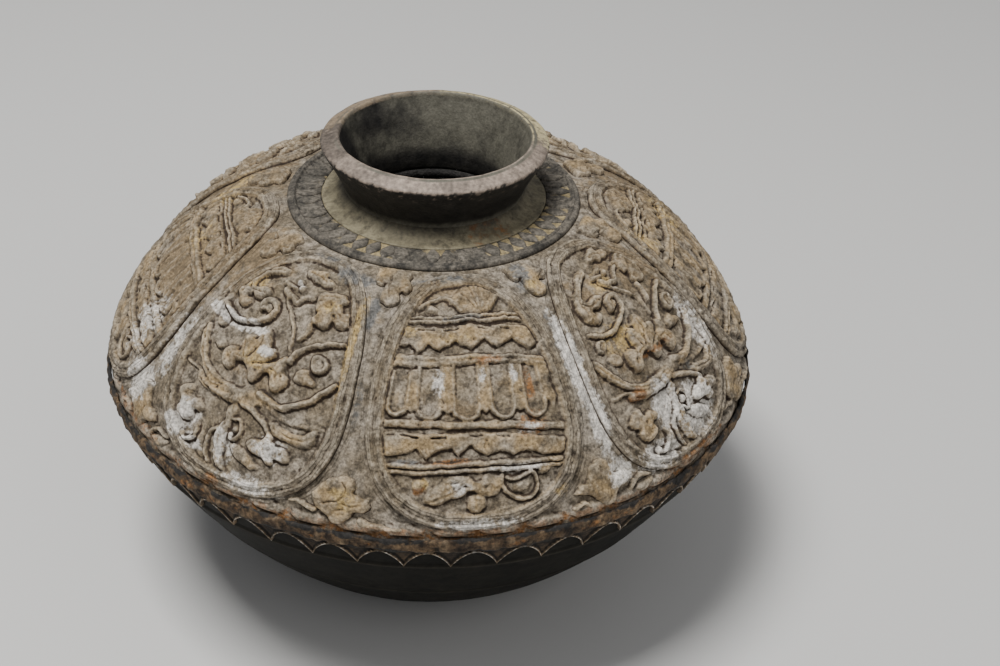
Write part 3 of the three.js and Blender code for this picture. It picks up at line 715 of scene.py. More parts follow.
def clay_relief(sheet: ShaderSheet, finish: ClayFinish) -> Socket:
    """Normal of the grain of the clay and of the fine lines beside the frames."""
    grain = sheet.noise(Cloud(finish.grain_size, 8.0, 0.0, 0.6))
    grit = sheet.add("ShaderNodeBump", {"Distance": finish.grain, "Height": grain}).outputs["Normal"]
    if not finish.line_height:
        return grit
    waver = sheet.maths("MULTIPLY", sheet.noise(LINE_WAVER), LINE_WAVER_HEIGHT)
    aside = sheet.maths("ADD", sheet.attribute("aside"), waver)
    wave = sheet.maths("SINE", sheet.maths("MULTIPLY", aside, 2 * math.pi / finish.line_spacing))
    near = sheet.step(aside, finish.line_reach, finish.line_reach - LINE_FADE)
    lines = {"Distance": finish.line_height, "Height": sheet.maths("MULTIPLY", wave, near), "Normal": grit}
    return sheet.add("ShaderNodeBump", lines).outputs["Normal"]


def clay_material(finish: ClayFinish) -> Material:
    """Material of fired clay.

    Args:
        finish: Colours and surface of the clay.

    Returns:
        The material.
    """
    sheet = ShaderSheet(finish.name)
    dull = sheet.maths("MULTIPLY", sheet.noise(GLOSS_CLOUD), finish.gloss_change)
    inputs = {
        "Base Color": clay_tone(sheet, finish),
        "Roughness": sheet.maths("ADD", dull, finish.roughness - finish.gloss_change / 2),
        "Specular IOR Level": finish.specular,
        "Normal": clay_relief(sheet, finish),
    }
    return sheet.shown(sheet.add("ShaderNodeBsdfPrincipled", inputs))


class StainKind(Enum):
    """What a stain on the clay is made of, named after the number stored in the mesh."""

    LIME = "lime"
    OCHRE = "ochre"
    RUST = "rust"
    EARTH = "earth"
    SLATE = "slate"
    SOOT_AND_SHADE = "soot"


@dataclass(frozen=True)
class Stain:
    """One cloud of stain, with its middle in degrees and share and its two sizes in metres."""

    kind: StainKind
    azimuth: float
    share: float
    across: float
    along: float
    strength: float


STAIN_PLACES: dict[StainKind, tuple[tuple[float, ...], ...]] = {
    StainKind.LIME: (
        (-49, -0.16, 12, 2.4, 1.6), (-40.5, -0.19, 6, 2.4, 1.3), (-35, -0.06, 3, 2.5, 1.3),
        (-37.5, -0.63, 2.5, 2, 1.1), (-46, 0.62, 7, 6, 1.1), (-48, 0.75, 6, 4, 1.4),
        (-43, 0.79, 6, 3, 1.2), (-27.5, 0.6, 8, 6, 1), (-36.5, 0.7, 7, 9, 0.95), (-30, 0.9, 16, 4, 0.9),
        (-58, 0.3, 7, 22, 0.85), (-62, 0.72, 10, 9, 1.25), (-70, 0.4, 14, 20, 0.8),
        (1.6, -0.08, 3, 7, 0.95), (10.4, -0.1, 2, 5, 0.85), (16.8, -0.1, 2, 5, 0.85),
        (15, 0.57, 12, 2.2, 1.1), (18, 0.3, 6, 3, 0.8), (5, 0.68, 5, 4, 0.85), (8, 0.95, 18, 3, 0.95),
        (30.6, -0.1, 3.4, 20, 1.3), (31.6, 0.4, 3.5, 14, 1.3), (33, 0.8, 7, 6, 1.1),
        (47, 0.5, 7, 11, 1.3), (54, 0.66, 13, 11, 1.25), (42, 0.82, 12, 6, 1.15), (66, 0.2, 8, 20, 0.85),
    ),
    StainKind.OCHRE: (
        (-35, 0.02, 12, 5, 0.9), (-25.6, -0.52, 8, 7, 0.75), (-17.8, -0.3, 2, 26, 1),
        (-49, -0.5, 8, 6, 0.75), (-13.5, 0.8, 6, 6, 0.9), (-5, -0.45, 6, 4, 0.75),
        (-1.5, 0.66, 3, 3, 1.1), (5.5, -0.4, 14, 3, 0.7), (22, 0.8, 5, 4, 0.72), (44, -0.12, 12, 9, 0.85),
        (50, -0.55, 10, 7, 0.75), (30, -0.75, 4, 5, 0.8), (-80, -0.3, 14, 14, 0.7),
        (78, -0.5, 10, 12, 0.8), (-100, -0.55, 20, 12, 0.8), (100, -0.2, 20, 16, 0.75),
    ),
    StainKind.RUST: (
        (12, -0.23, 6, 2.5, 1), (18.5, 0.28, 8, 6, 0.9), (19.5, 0, 2.5, 9, 0.85), (4, 0.5, 9, 2, 1),
        (-1.6, 0.7, 3, 2, 1), (41, 0.33, 4, 3, 1.2), (50, 0.1, 12, 2, 1), (-36.8, 0.98, 4, 3, 1.2),
        (-60, 0.98, 30, 3, 0.9), (50, 0.98, 30, 3, 0.9), (0, 1.03, 200, 3.5, 0.85),
        (180, 1.03, 200, 3.5, 0.8),
    ),
    # The broadest earth clouds lie on the upper part and at the back, and darken those sides as a whole.
    StainKind.EARTH: (
        (-60, -0.6, 26, 18, 1.1), (5, -0.8, 24, 10, 0.8), (45, -0.5, 18, 16, 0.8), (5, 0.15, 16, 8, 0.72),
        (-112, -0.3, 60, 50, 0.9), (112, -0.3, 60, 50, 0.88), (180, -0.4, 80, 50, 0.86),
        (-20, -0.5, 20, 9, 0.74), (-75, -0.1, 30, 40, 1.1), (64, -0.5, 30, 24, 0.86),
        (42, 0.1, 16, 14, 0.76), (-38, 0.1, 18, 12, 0.72),
    ),
    StainKind.SLATE: (
        (-24, -0.86, 9, 4, 1.1), (-15.5, -0.6, 2.4, 10, 1.1), (-13.8, 0.1, 2, 16, 0.8),
        (-36, -0.95, 12, 3, 0.9), (8, -0.57, 10, 2.5, 1), (4, -0.93, 14, 3, 0.9),
        (28.5, -0.85, 4, 8, 1.1), (29.6, -0.3, 1.8, 18, 0.9), (57, 0.35, 6, 6, 0.7), (-4, 0.5, 8, 2, 0.9),
    ),
}
STAINS = tuple(
    Stain(kind, azimuth, share, across * MM, along * MM, strength)
    for kind, rows in STAIN_PLACES.items()
    for azimuth, share, across, along, strength in rows
)


def turn_between(azimuth: Grid, middle: float) -> Grid:
    """Degrees from an azimuth to others, from -180 to 180."""
    return (azimuth - middle + FULL_TURN / 2) % FULL_TURN - FULL_TURN / 2


def stain_weights(azimuth: Grid, distance: Grid, radius: Grid) -> Marks:
    """Strength of every kind of stain.

    Args:
        azimuth: Degrees round the axis.
        distance: Distances down the shoulder.
        radius: Distances from the axis.

    Returns:
        A grid of strengths for each kind.
    """
    weights = {kind.value: np.zeros(np.broadcast(azimuth, distance).shape) for kind in StainKind}
    for stain in STAINS:
        aside = np.radians(turn_between(azimuth, stain.azimuth)) * radius / stain.across
        along = (distance - down(stain.share)) / stain.along
        cloud = stain.strength * np.exp(-(aside**2 + along**2))
        weights[stain.kind.value] = np.maximum(weights[stain.kind.value], cloud)
    return weights


NARROW_BLUR = 0.5 * MM
WIDE_BLUR = 1.8 * MM


def shade_and_wear_marks(height: Grid, cell: float, around: bool = False) -> Marks:
    """Hollows and crests of a relief: painted shade in the hollows, painted shadow under the lower edges,
    and paler crests for wear and a painted highlight.

    Args:
        height: Grid of heights, from its upper row down.
        cell: Size of a cell in metres.
        around: Whether the last column meets the first one.

    Returns:
        Grids from 0 to 1 under the names hollow and crest.
    """
    near, far = (max(int(2 * (size / cell) ** 2), 1) for size in (NARROW_BLUR, WIDE_BLUR))
    narrow, wide = softened(height, near, around), softened(height, far, around)
    lower_edge = ramp(-np.gradient(narrow, cell, axis=0), 0.3, 0.9)
    crevice = unit((wide - height) / (0.7 * MM))
    # Painted shade in crevices, strongest as a painted shadow below lower edges, with some grime.
    dip = crevice * (0.14 + 1.1 * lower_edge) + (narrow - height) / (0.34 * MM) - 0.12
    # Paler crests: wear, and a painted highlight on the ridges.
    rise = (height - narrow) / (0.42 * MM) + 0.6 * (height - wide) / (0.9 * MM) - 0.1
    return {"hollow": unit(dip), "crest": unit(rise)}


class ReliefCanvas:
    """Height of a relief, drawn on a grid of azimuths and shares of the shoulder."""

    def __init__(self, degrees: Grid, share: Grid, level: float, seed: int = 0) -> None:
        """Args:
            degrees: Azimuths of the grid, counted from the middle of the motif.
            share: Shares of the grid.
            level: Height of the bare ground of the relief.
            seed: Number that picks how the hand-cut lines waver.
        """
        self.width = math.radians(1) * SHOULDER.radius_at(down(share))
        flat = np.stack((degrees * self.width.mean(), share * PANEL_HALF, np.zeros(share.shape)), axis=-1)
        long, short = 7 * MM, 1.9 * MM
        aside = rough(flat, long, seed + 40, 2) * 0.3 + rough(flat, short, seed + 42, 2) * 0.24
        along = rough(flat, long, seed + 50, 2) * 0.35 + rough(flat, short, seed + 52, 2) * 0.24
        self.degrees = degrees + aside * MM / self.width
        self.share = share + along * MM / PANEL_HALF
        self.height = np.full(degrees.shape, level)

    def part_near(self, line: Grid, reach: float) -> Part:
        """Rows and columns of the grid that hold every place near a line.

        Args:
            line: Corners of the line as (degrees, share).
            reach: Farthest distance from the line in millimetres.

        Returns:
            The rows and the columns, empty where the line is far from the grid.
        """
        aside = reach * MM / self.width.min()
        along = reach * MM / PANEL_HALF
        low, high = line.min(axis=0), line.max(axis=0)
        near = (self.degrees > low[0] - aside) & (self.degrees < high[0] + aside)
        near &= (self.share > low[1] - along) & (self.share < high[1] + along)
        rows = np.flatnonzero(near.any(axis=1))
        columns = np.flatnonzero(near.any(axis=0))
        if not len(rows):
            return slice(0, 0), slice(0, 0)
        return slice(rows[0], rows[-1] + 1), slice(columns[0], columns[-1] + 1)

    def nearest(self, line: Grid, part: Part) -> tuple[Grid, Grid]:
        """Distance of every place in a part of the grid to a line.

        Args:
            line: Corners of the line as (degrees, share).
            part: Rows and columns of the grid.

        Returns:
            The distances in millimetres and the share of the line's length at the nearest place.
        """
        degrees, share, width = self.degrees[part], self.share[part], self.width[part]
        lengths = np.hypot(np.diff(line[:, 0]) * self.width.mean(), np.diff(line[:, 1]) * PANEL_HALF)
        reached = np.concatenate(([0.0], np.cumsum(lengths))) / max(lengths.sum(), 1e-9)
        best = np.full(degrees.shape, np.inf)
        along = np.zeros(degrees.shape)
        for step, (start, end) in enumerate(zip(line[:-1], line[1:])):
            across = (degrees - start[0]) * width
            fall = (share - start[1]) * PANEL_HALF
            run = (end[0] - start[0]) * width
            drop = (end[1] - start[1]) * PANEL_HALF
            place = unit((across * run + fall * drop) / (run**2 + drop**2 + 1e-12))
            gap = np.hypot(across - place * run, fall - place * drop)
            closer = gap < best
            best = np.where(closer, gap, best)
            along = np.where(closer, reached[step] + place * (reached[step + 1] - reached[step]), along)
        return best / MM, along

    def inside(self, line: Grid, part: Part) -> Grid:
        """Whether every place in a part of the grid lies inside a closed line."""
        degrees, share = self.degrees[part], self.share[part]
        crossings = np.zeros(degrees.shape, int)
        for start, end in zip(line[:-1], line[1:]):
            passes = (start[1] > share) != (end[1] > share)
            slope = (end[0] - start[0]) / (end[1] - start[1] or 1e-12)
            crossings += passes & (degrees < start[0] + (share - start[1]) * slope)
        return crossings % 2 == 1

    def reach(self, degrees: float, share: float, radius: float) -> Grid:
        """Distance to a place as a share of a radius in millimetres."""
        aside = (self.degrees - degrees) * self.width
        along = (self.share - share) * PANEL_HALF
        return np.hypot(aside, along) / (radius * MM)

    def raise_to(self, part: Part, covered: Grid, height: Grid | float) -> None:
        """Lifts every lower place of what a stroke covers to a height in millimetres."""
        stroke = np.where(covered, height, UNTOUCHED)
        self.height[part] = np.maximum(self.height[part], stroke * MM)


WHOLE = (slice(None), slice(None))
UNTOUCHED = -1.0


@dataclass(frozen=True)
class Stem:
    """Round-backed stem along a smooth line, with its width and height in millimetres."""

    spots: tuple[Spot, ...]
    width: float
    height: float
    taper: float = 0.7
    groove: float = 0.0

    def draw(self, canvas: ReliefCanvas) -> None:
        """Raises the stem, narrower at its far end and with a groove along its back."""
        line = smooth_line(self.spots)
        part = canvas.part_near(line, self.width)
        gap, along = canvas.nearest(line, part)
        half = self.width / 2 * (1 - (1 - self.taper) * along)
        cut = self.groove * beside(gap, 0.32 * half)
        canvas.raise_to(part, gap < half, self.height * dome(gap / half, 0.45) - cut)


@dataclass(frozen=True)
class Plate:
    """Leaf or pillar with a closed outline, with its height and edge in millimetres."""

    spots: tuple[Spot, ...]
    height: float
    edge: float = 1.1
    curved: bool = True
    rim_level: ClassVar[float] = 0.76
    swell_reach: ClassVar[float] = 2.4

    def draw(self, canvas: ReliefCanvas) -> None:
        """Raises the plate with a rounded edge and a slightly swollen middle."""
        closed = (*self.spots, self.spots[0])
        line = smooth_line(closed, 4) if self.curved else np.array(closed)
        part = canvas.part_near(line, 0.5)
        gap, _ = canvas.nearest(line, part)
        bevel = dome(1 - unit(gap / self.edge))
        swell = self.rim_level + (1 - self.rim_level) * unit(gap / self.swell_reach)
        canvas.raise_to(part, canvas.inside(line, part), self.height * bevel * swell)


@dataclass(frozen=True)
class Strip:
    """Raised strip between two edges that run from left to right, with its height in millimetres."""

    upper: tuple[Spot, ...]
    lower: tuple[Spot, ...]
    height: float
    edge: float = 1.0

    def draw(self, canvas: ReliefCanvas) -> None:
        """Raises the strip with rounded edges."""
        top = np.interp(canvas.degrees, *zip(*self.upper))
        bottom = np.interp(canvas.degrees, *zip(*self.lower))
        inset = np.minimum(canvas.share - top, bottom - canvas.share) * PANEL_HALF / (self.edge * MM)
        canvas.raise_to(WHOLE, inset > 0, self.height * dome(1 - unit(inset)))


@dataclass(frozen=True)
class Furrow:
    """Narrow cut along a smooth line, with its width, depth and lowest level in millimetres."""

    spots: tuple[Spot, ...]
    width: float = 0.8
    depth: float = 0.6
    bottom: float = 0.2

    def draw(self, canvas: ReliefCanvas) -> None:
        """Cuts the furrow into what is there."""
        line = smooth_line(self.spots)
        part = canvas.part_near(line, self.width)
        gap, _ = canvas.nearest(line, part)
        cut = self.depth * MM * dome(gap / (self.width / 2), 1)
        before = canvas.height[part]
        canvas.height[part] = np.where(cut > 0, np.maximum(before - cut, self.bottom * MM), before)


@dataclass(frozen=True)
class Dish:
    """Round hollow or, with a depth below 0, a round boss, with its sizes in millimetres."""

    degrees: float
    share: float
    radius: float = 1.2
    depth: float = 0.5

    def draw(self, canvas: ReliefCanvas) -> None:
        """Presses the dish into what is there."""
        reach = canvas.reach(self.degrees, self.share, self.radius)
        canvas.height = canvas.height - self.depth * MM * dome(reach, 1)


@dataclass(frozen=True)
class Knob:
    """Round button, with its sizes in millimetres."""

    degrees: float
    share: float
    radius: float
    height: float

    def draw(self, canvas: ReliefCanvas) -> None:
        """Raises the knob."""
        reach = canvas.reach(self.degrees, self.share, self.radius)
        canvas.raise_to(WHOLE, reach < 1, self.height * dome(reach))


@dataclass(frozen=True)
class Roundel:
    """Disc with a raised rim and a boss in its middle, with its sizes in millimetres."""

    degrees: float
    share: float
    radius: float
    height: float

    def draw(self, canvas: ReliefCanvas) -> None:
        """Raises the rim, the boss and the lower ground between them."""
        reach = canvas.reach(self.degrees, self.share, self.radius)
        rim = dome((reach - 0.74) / 0.28)
        boss = 0.9 * dome(reach / 0.36)
        ground = np.where(reach < 0.75, 0.74, 0.0)
        canvas.raise_to(WHOLE, reach < 1.02, self.height * np.maximum(np.maximum(rim, boss), ground))


@dataclass(frozen=True)
class Niche:
    """Round-bottomed niche: its middle and half width in degrees, and the shares of its ends."""

    middle: float
    half: float
    top: float
    bottom: float
    level: ClassVar[float] = 0.95
    rim: ClassVar[float] = 2.0
    rim_half: ClassVar[float] = 0.75

    @property
    def spring(self) -> float:
        """Share at which the straight sides turn into the round bottom."""
        return self.bottom - self.half * 1.6 * MM / PANEL_HALF

    def draw(self, canvas: ReliefCanvas) -> None:
        """Raises the flat inside of the niche and the rim round it."""
        left, right = self.middle - self.half, self.middle + self.half
        depth = self.bottom - self.spring
        bow = [
            (self.middle - self.half * math.cos(angle), self.spring + depth * math.sin(angle))
            for angle in np.radians(np.arange(0, 181, 15))
        ]
        line = np.array([(left, self.top), *bow, (right, self.top)])
        part = canvas.part_near(line, 1.5)
        gap, _ = canvas.nearest(line, part)
        closed = np.vstack((line, line[:1]))
        canvas.raise_to(part, canvas.inside(closed, part), self.level)
        canvas.raise_to(part, gap < self.rim_half, self.rim * dome(gap / self.rim_half))


Stroke = Stem | Plate | Strip | Furrow | Dish | Knob | Roundel | Niche
Design = tuple[Stroke, ...]


class Cartouche(Enum):
    """The two designs of cartouche, which take turns round the shoulder."""

    ARCADE = "arcade"
    FOLIATE = "foliate"


FOLIATE_STEMS: Design = (
    Plate(((-4, 0.28), (0, 0.22), (3, 0.235), (7, 0.3), (11, 0.335), (16, 0.33), (16, 0.375), (11, 0.39),
        (7, 0.365), (4, 0.33), (2, 0.36), (-1, 0.37), (-4, 0.345)), 1.3),
    Stem(((-17.2, 0), (-15.4, 0.095), (-13.4, 0.19), (-11, 0.256), (-7.8, 0.294), (-4.2, 0.294),
        (-0.6, 0.285)), 3.2, 2.1, 0.85, 0.7),
    Stem(((2.6, 0.247), (7, 0.285), (9.8, 0.237), (12.2, 0.19), (14.2, 0.114), (16.4, 0.038)), 2.6, 2.3,
        0.8),
    Stem(((5.8, -0.057), (6.8, -0.133), (8.6, -0.19), (11, -0.237), (13.8, -0.266), (16.6, -0.285)), 2.2,
        2.2),
    Stem(((-4.2, -0.53), (-1.8, -0.456), (0.6, -0.389), (2.6, -0.323), (4, -0.247), (4.6, -0.133)), 1.4,
        1.5),
    Stem(((6.4, -0.361), (6.6, -0.304), (5.8, -0.228)), 2, 1.9, 0.8),
    Stem(((-12, 0.325), (-8, 0.35), (-3.4, 0.355), (-0.6, 0.33)), 3.2, 1.9, 1),
    Stem(((-16.6, 0.285), (-13.6, 0.29), (-10.6, 0.305)), 1.5, 1.4, 0.7),
    Stem(((0, 0.36), (3, 0.385), (5.4, 0.43), (7.6, 0.5)), 2.2, 1.8, 0.8),
    Stem(((-5, -0.56), (-3.4, -0.522), (-1.4, -0.512), (0.2, -0.494), (1.8, -0.55), (3.8, -0.579)), 2.5, 2),
    Stem(((-6.6, -0.607), (-3.4, -0.598)), 2, 1.7),
    Knob(-2.8, -0.651, 1.2, 1.8), Knob(-1.2, -0.607, 1.2, 1.8),
)
FOLIATE_LEAVES: Design = (
    Plate(((-8.1, -0.712), (-9.8, -0.719), (-11.4, -0.716), (-12.7, -0.693), (-13.7, -0.642),
        (-14.8, -0.596), (-16.3, -0.554), (-17.2, -0.494), (-17.5, -0.414), (-16.6, -0.351), (-15.4, -0.304),
        (-13.4, -0.271), (-11.5, -0.285), (-10.9, -0.326), (-11.7, -0.361), (-12.8, -0.357), (-12.5, -0.389),
        (-11, -0.368), (-9, -0.389), (-7.7, -0.444), (-8.1, -0.484), (-9.6, -0.501), (-11.1, -0.49),
        (-12.5, -0.465), (-13.6, -0.465), (-13.9, -0.516), (-12.8, -0.56), (-11.4, -0.607), (-9.6, -0.642),
        (-8.1, -0.664)), 2.3),
    Stem(((-7, -0.332), (-7.2, -0.389), (-6, -0.421), (-4.4, -0.414), (-3.5, -0.361), (-3.8, -0.294),
        (-5.2, -0.251), (-7, -0.218), (-9.4, -0.186), (-11.8, -0.177), (-14.6, -0.199), (-16.4, -0.232)),
        2.6, 2.6, 0.6, 0.5),
    Knob(-5.8, -0.36, 1.8, 2),
    Plate(((-4.2, -0.778), (-1.4, -0.807), (1, -0.835), (3, -0.826), (3.6, -0.778), (5.8, -0.769),
        (7.2, -0.74), (6.6, -0.699), (4.6, -0.68), (2.6, -0.693), (1, -0.683), (-0.6, -0.712), (-3, -0.731)),
        2),
    Plate(((4.6, -0.623), (6.6, -0.655), (9, -0.672), (11.4, -0.672), (13, -0.645), (13.2, -0.598),
        (12.2, -0.57), (13, -0.528), (14.6, -0.535), (15.9, -0.484), (15.9, -0.437), (14.8, -0.395),
        (13.2, -0.389), (11.6, -0.421), (11, -0.37), (9.6, -0.351), (7.8, -0.364), (6.6, -0.376),
        (5.9, -0.418), (6.6, -0.465), (5.6, -0.494), (5, -0.55)), 2.5),
    Plate(((-2.2, -0.228), (-0.8, -0.213), (0.2, -0.152), (0.7, -0.11), (1.8, -0.104), (2.6, -0.057),
        (1.9, -0.004), (3.2, -0.028), (4.6, -0.085), (5.7, -0.057), (5.6, 0.004), (6.9, 0.066), (6.8, 0.142),
        (5.6, 0.194), (4.2, 0.197), (3.2, 0.148), (2.9, 0.095), (2, 0.085), (1, 0.133), (0, 0.177),
        (-1.1, 0.18), (-2, 0.137), (-2.8, 0.095), (-4, 0.08), (-5.2, 0.095), (-5.8, 0.156), (-7, 0.19),
        (-8.3, 0.171), (-9.2, 0.11), (-9.2, 0.042), (-8.3, -0.004), (-6.9, -0.015), (-6, 0.004),
        (-6.3, -0.057), (-5.9, -0.123), (-4.5, -0.148), (-3.4, -0.118), (-3.1, -0.175)), 2.7, 1.3),
    Plate(((7.6, 0), (8.6, -0.034), (10, -0.042), (11, -0.01), (12.2, 0.019), (12.4, 0.066), (11, 0.08),
        (9, 0.08), (7.7, 0.057)), 1.9),
    Plate(((-13.6, -0.019), (-12.4, -0.042), (-11, -0.029), (-10, 0.01), (-10, 0.053), (-11.2, 0.076),
        (-12.8, 0.06), (-13.7, 0.019)), 1.9),
    Plate(((-15, 0.503), (-14, 0.446), (-12.4, 0.414), (-11.4, 0.427), (-11, 0.484), (-9.8, 0.465),
        (-8.4, 0.475), (-7.4, 0.522), (-8, 0.56), (-9.2, 0.566), (-9, 0.617), (-9.8, 0.664), (-11.2, 0.683),
        (-12.8, 0.664), (-13.5, 0.617), (-13.2, 0.57), (-14.4, 0.541)), 2.3),
    Plate(((3.1, 0.598), (4.2, 0.55), (5.8, 0.535), (6.4, 0.494), (7.6, 0.503), (8.6, 0.55), (10.2, 0.55),
        (11.6, 0.589), (11.8, 0.636), (10.6, 0.664), (9.2, 0.655), (8.8, 0.702), (7.6, 0.712), (6.6, 0.674),
        (5, 0.664), (3.7, 0.645)), 2.3),
    Plate(((6, 0.399), (8.6, 0.399), (11, 0.427), (13, 0.427), (14.2, 0.38), (15.3, 0.37), (15.7, 0.418),
        (15.2, 0.484), (13.6, 0.528), (11.4, 0.522), (10.4, 0.503), (8.6, 0.494), (7.2, 0.465)), 2),
)
FOLIATE_FOOT: Design = (
    Roundel(12.1, -0.104, 3, 2.3), Roundel(-14.4, -0.114, 2.2, 1.9),
    Plate(((-1.2, 0.35), (-0.4, 0.42), (-1.2, 0.52), (-0.7, 0.62), (-0.6, 0.72), (-0.2, 0.8), (1.2, 0.93),
        (-0.6, 0.9), (-2.2, 0.82), (-3.2, 0.7), (-3.2, 0.6), (-2.6, 0.52), (-2.8, 0.42)), 1.9, 1),
    Stem(((-3.2, 0.6), (-4.4, 0.66), (-4.4, 0.77), (-3, 0.89)), 1.5, 1.7, 0.8),
    Plate(((-6.4, 0.68), (-5.4, 0.69), (-5.2, 0.78), (-4.4, 0.86), (-5.6, 0.87), (-6.8, 0.8)), 1.3, 0.8),
    Plate(((0, 0.655), (2, 0.645), (4.4, 0.69), (6.8, 0.75), (5, 0.785), (2.8, 0.765), (1, 0.72)), 1.7, 0.9),
    Stem(((-0.8, 0.49), (0.4, 0.475), (1.3, 0.53), (1.2, 0.6), (0.2, 0.63), (-0.5, 0.6)), 1.1, 1.8, 1),
    Knob(0.2, 0.55, 1.3, 1.7),
    Stem(((-10.4, 0.788), (-9, 0.801), (-7.6, 0.759), (-7, 0.702), (-7.4, 0.655)), 1.6, 2),
    Knob(-10.2, 0.775, 1.2, 2), Knob(5.4, 0.9, 1.1, 1.5), Knob(-1.4, 0.985, 1.8, 3),
)
FOLIATE_CUTS: Design = (
    Furrow(((-1.8, -0.17), (-1.6, -0.1), (-2.2, -0.03), (-3, 0.03)), 0.9, 0.7),
    Furrow(((2, 0), (0.4, 0.02), (-1.2, 0.05)), 0.9, 0.7),
    Furrow(((-5.2, -0.07), (-4.4, -0.02), (-3.6, 0.04))), Furrow(((4.6, 0.1), (4.2, 0.05), (2.8, 0.04))),
    Furrow(((-6, 0.05), (-5, 0.045), (-4, 0.05)), 0.7, 0.5),
    Furrow(((-1.8, 0.46), (-2.1, 0.56), (-1.9, 0.7), (-0.9, 0.82))),
    Furrow(((-11.4, 0.34), (-7.6, 0.375), (-3.6, 0.385)), depth=0.7),
    Furrow(((10.4, 0.395), (13.2, 0.4)), 0.9, 0.8),
    Dish(-7.4, 0.09, 1.4, 0.6), Dish(5.2, 0.07, 1.3), Dish(-0.3, 0.09), Dish(9, -0.532, 1.8, 0.9),
    Dish(11.4, -0.456, 1.3, 0.7), Dish(7.4, -0.42),
    Furrow(((6.2, -0.6), (8.4, -0.62), (11, -0.62)), depth=0.5),
    Furrow(((12.6, -0.5), (13.6, -0.46), (14.6, -0.46)), depth=0.5),
    Furrow(((-9.4, -0.68), (-12, -0.65), (-14.6, -0.56), (-15.8, -0.46), (-15, -0.37)), 0.9, 0.5),
    Furrow(((-15.2, -0.46), (-13.4, -0.42), (-11, -0.43), (-9, -0.44)), depth=0.7),
    Furrow(((-2, -0.77), (1, -0.76), (4.6, -0.725))),
    Dish(-12.4, 0.5), Dish(-11, 0.61), Dish(-9.4, 0.515, 1.1), Dish(5.4, 0.6), Dish(7.7, 0.6, 1.2, 0.6),
    Dish(10, 0.6), Furrow(((7.4, 0.43), (10, 0.46), (13, 0.475), (14.8, 0.43)), depth=0.5),
)
ARCADE_BARS: Design = (
    Stem(((-17.4, -0.57), (-8.7, -0.585), (0, -0.59), (8.7, -0.575), (17.4, -0.5)), 1.3, 2.1, 1),
    Stem(((-17.4, -0.535), (-8.7, -0.55), (0, -0.555), (8.7, -0.54), (17.4, -0.465)), 1.4, 2, 1),
    Strip(((-17, -0.285), (-8.7, -0.287), (0, -0.29), (8.7, -0.265), (17, -0.19)), ((-17, -0.19),
        (-8.7, -0.195), (0, -0.2), (8.7, -0.178), (17, -0.1)), 2.1),
    Stem(((-17.4, 0.235), (-8.7, 0.225), (0, 0.235), (8.7, 0.27), (17.4, 0.335)), 2.6, 2.1, 1, 0.3),
    Stem(((-17.4, 0.54), (-8.7, 0.52), (0, 0.515), (8.7, 0.54), (17.4, 0.57)), 1.7, 2.1, 1),
    Stem(((-17.4, 0.585), (-8.7, 0.565), (0, 0.56), (8.7, 0.585), (17.4, 0.61)), 1.6, 1.9, 1),
    Strip(((-17, -0.5), (-12, -0.505), (0, -0.515), (8, -0.5), (15, -0.44)), ((-15, -0.33), (-13.6, -0.35),
        (-11.8, -0.285), (-9.6, -0.364), (-7.2, -0.32), (-3.6, -0.389), (0, -0.318), (3.2, -0.399),
        (6, -0.318), (9.6, -0.361), (12.8, -0.258), (16, -0.304)), 2),
    Strip(((-17, 0.3), (-8, 0.285), (2, 0.3), (10, 0.34), (16, 0.41)), ((-15, 0.47), (-11.6, 0.44),
        (-10.6, 0.4), (-9.8, 0.43), (-8.6, 0.465), (-6.2, 0.41), (-4.6, 0.4), (-3.4, 0.456), (-1.2, 0.389),
        (1.6, 0.47), (4, 0.437), (6, 0.478), (8.4, 0.46), (12.4, 0.52)), 1.9),
)
NICHES = (
    Niche(-14.4, 1.7, -0.15, 0.17), Niche(-8.5, 2.2, -0.19, 0.185), Niche(-1.4, 2.5, -0.195, 0.19),
    Niche(5.6, 2.3, -0.185, 0.2), Niche(11.9, 1.9, -0.155, 0.22),
)
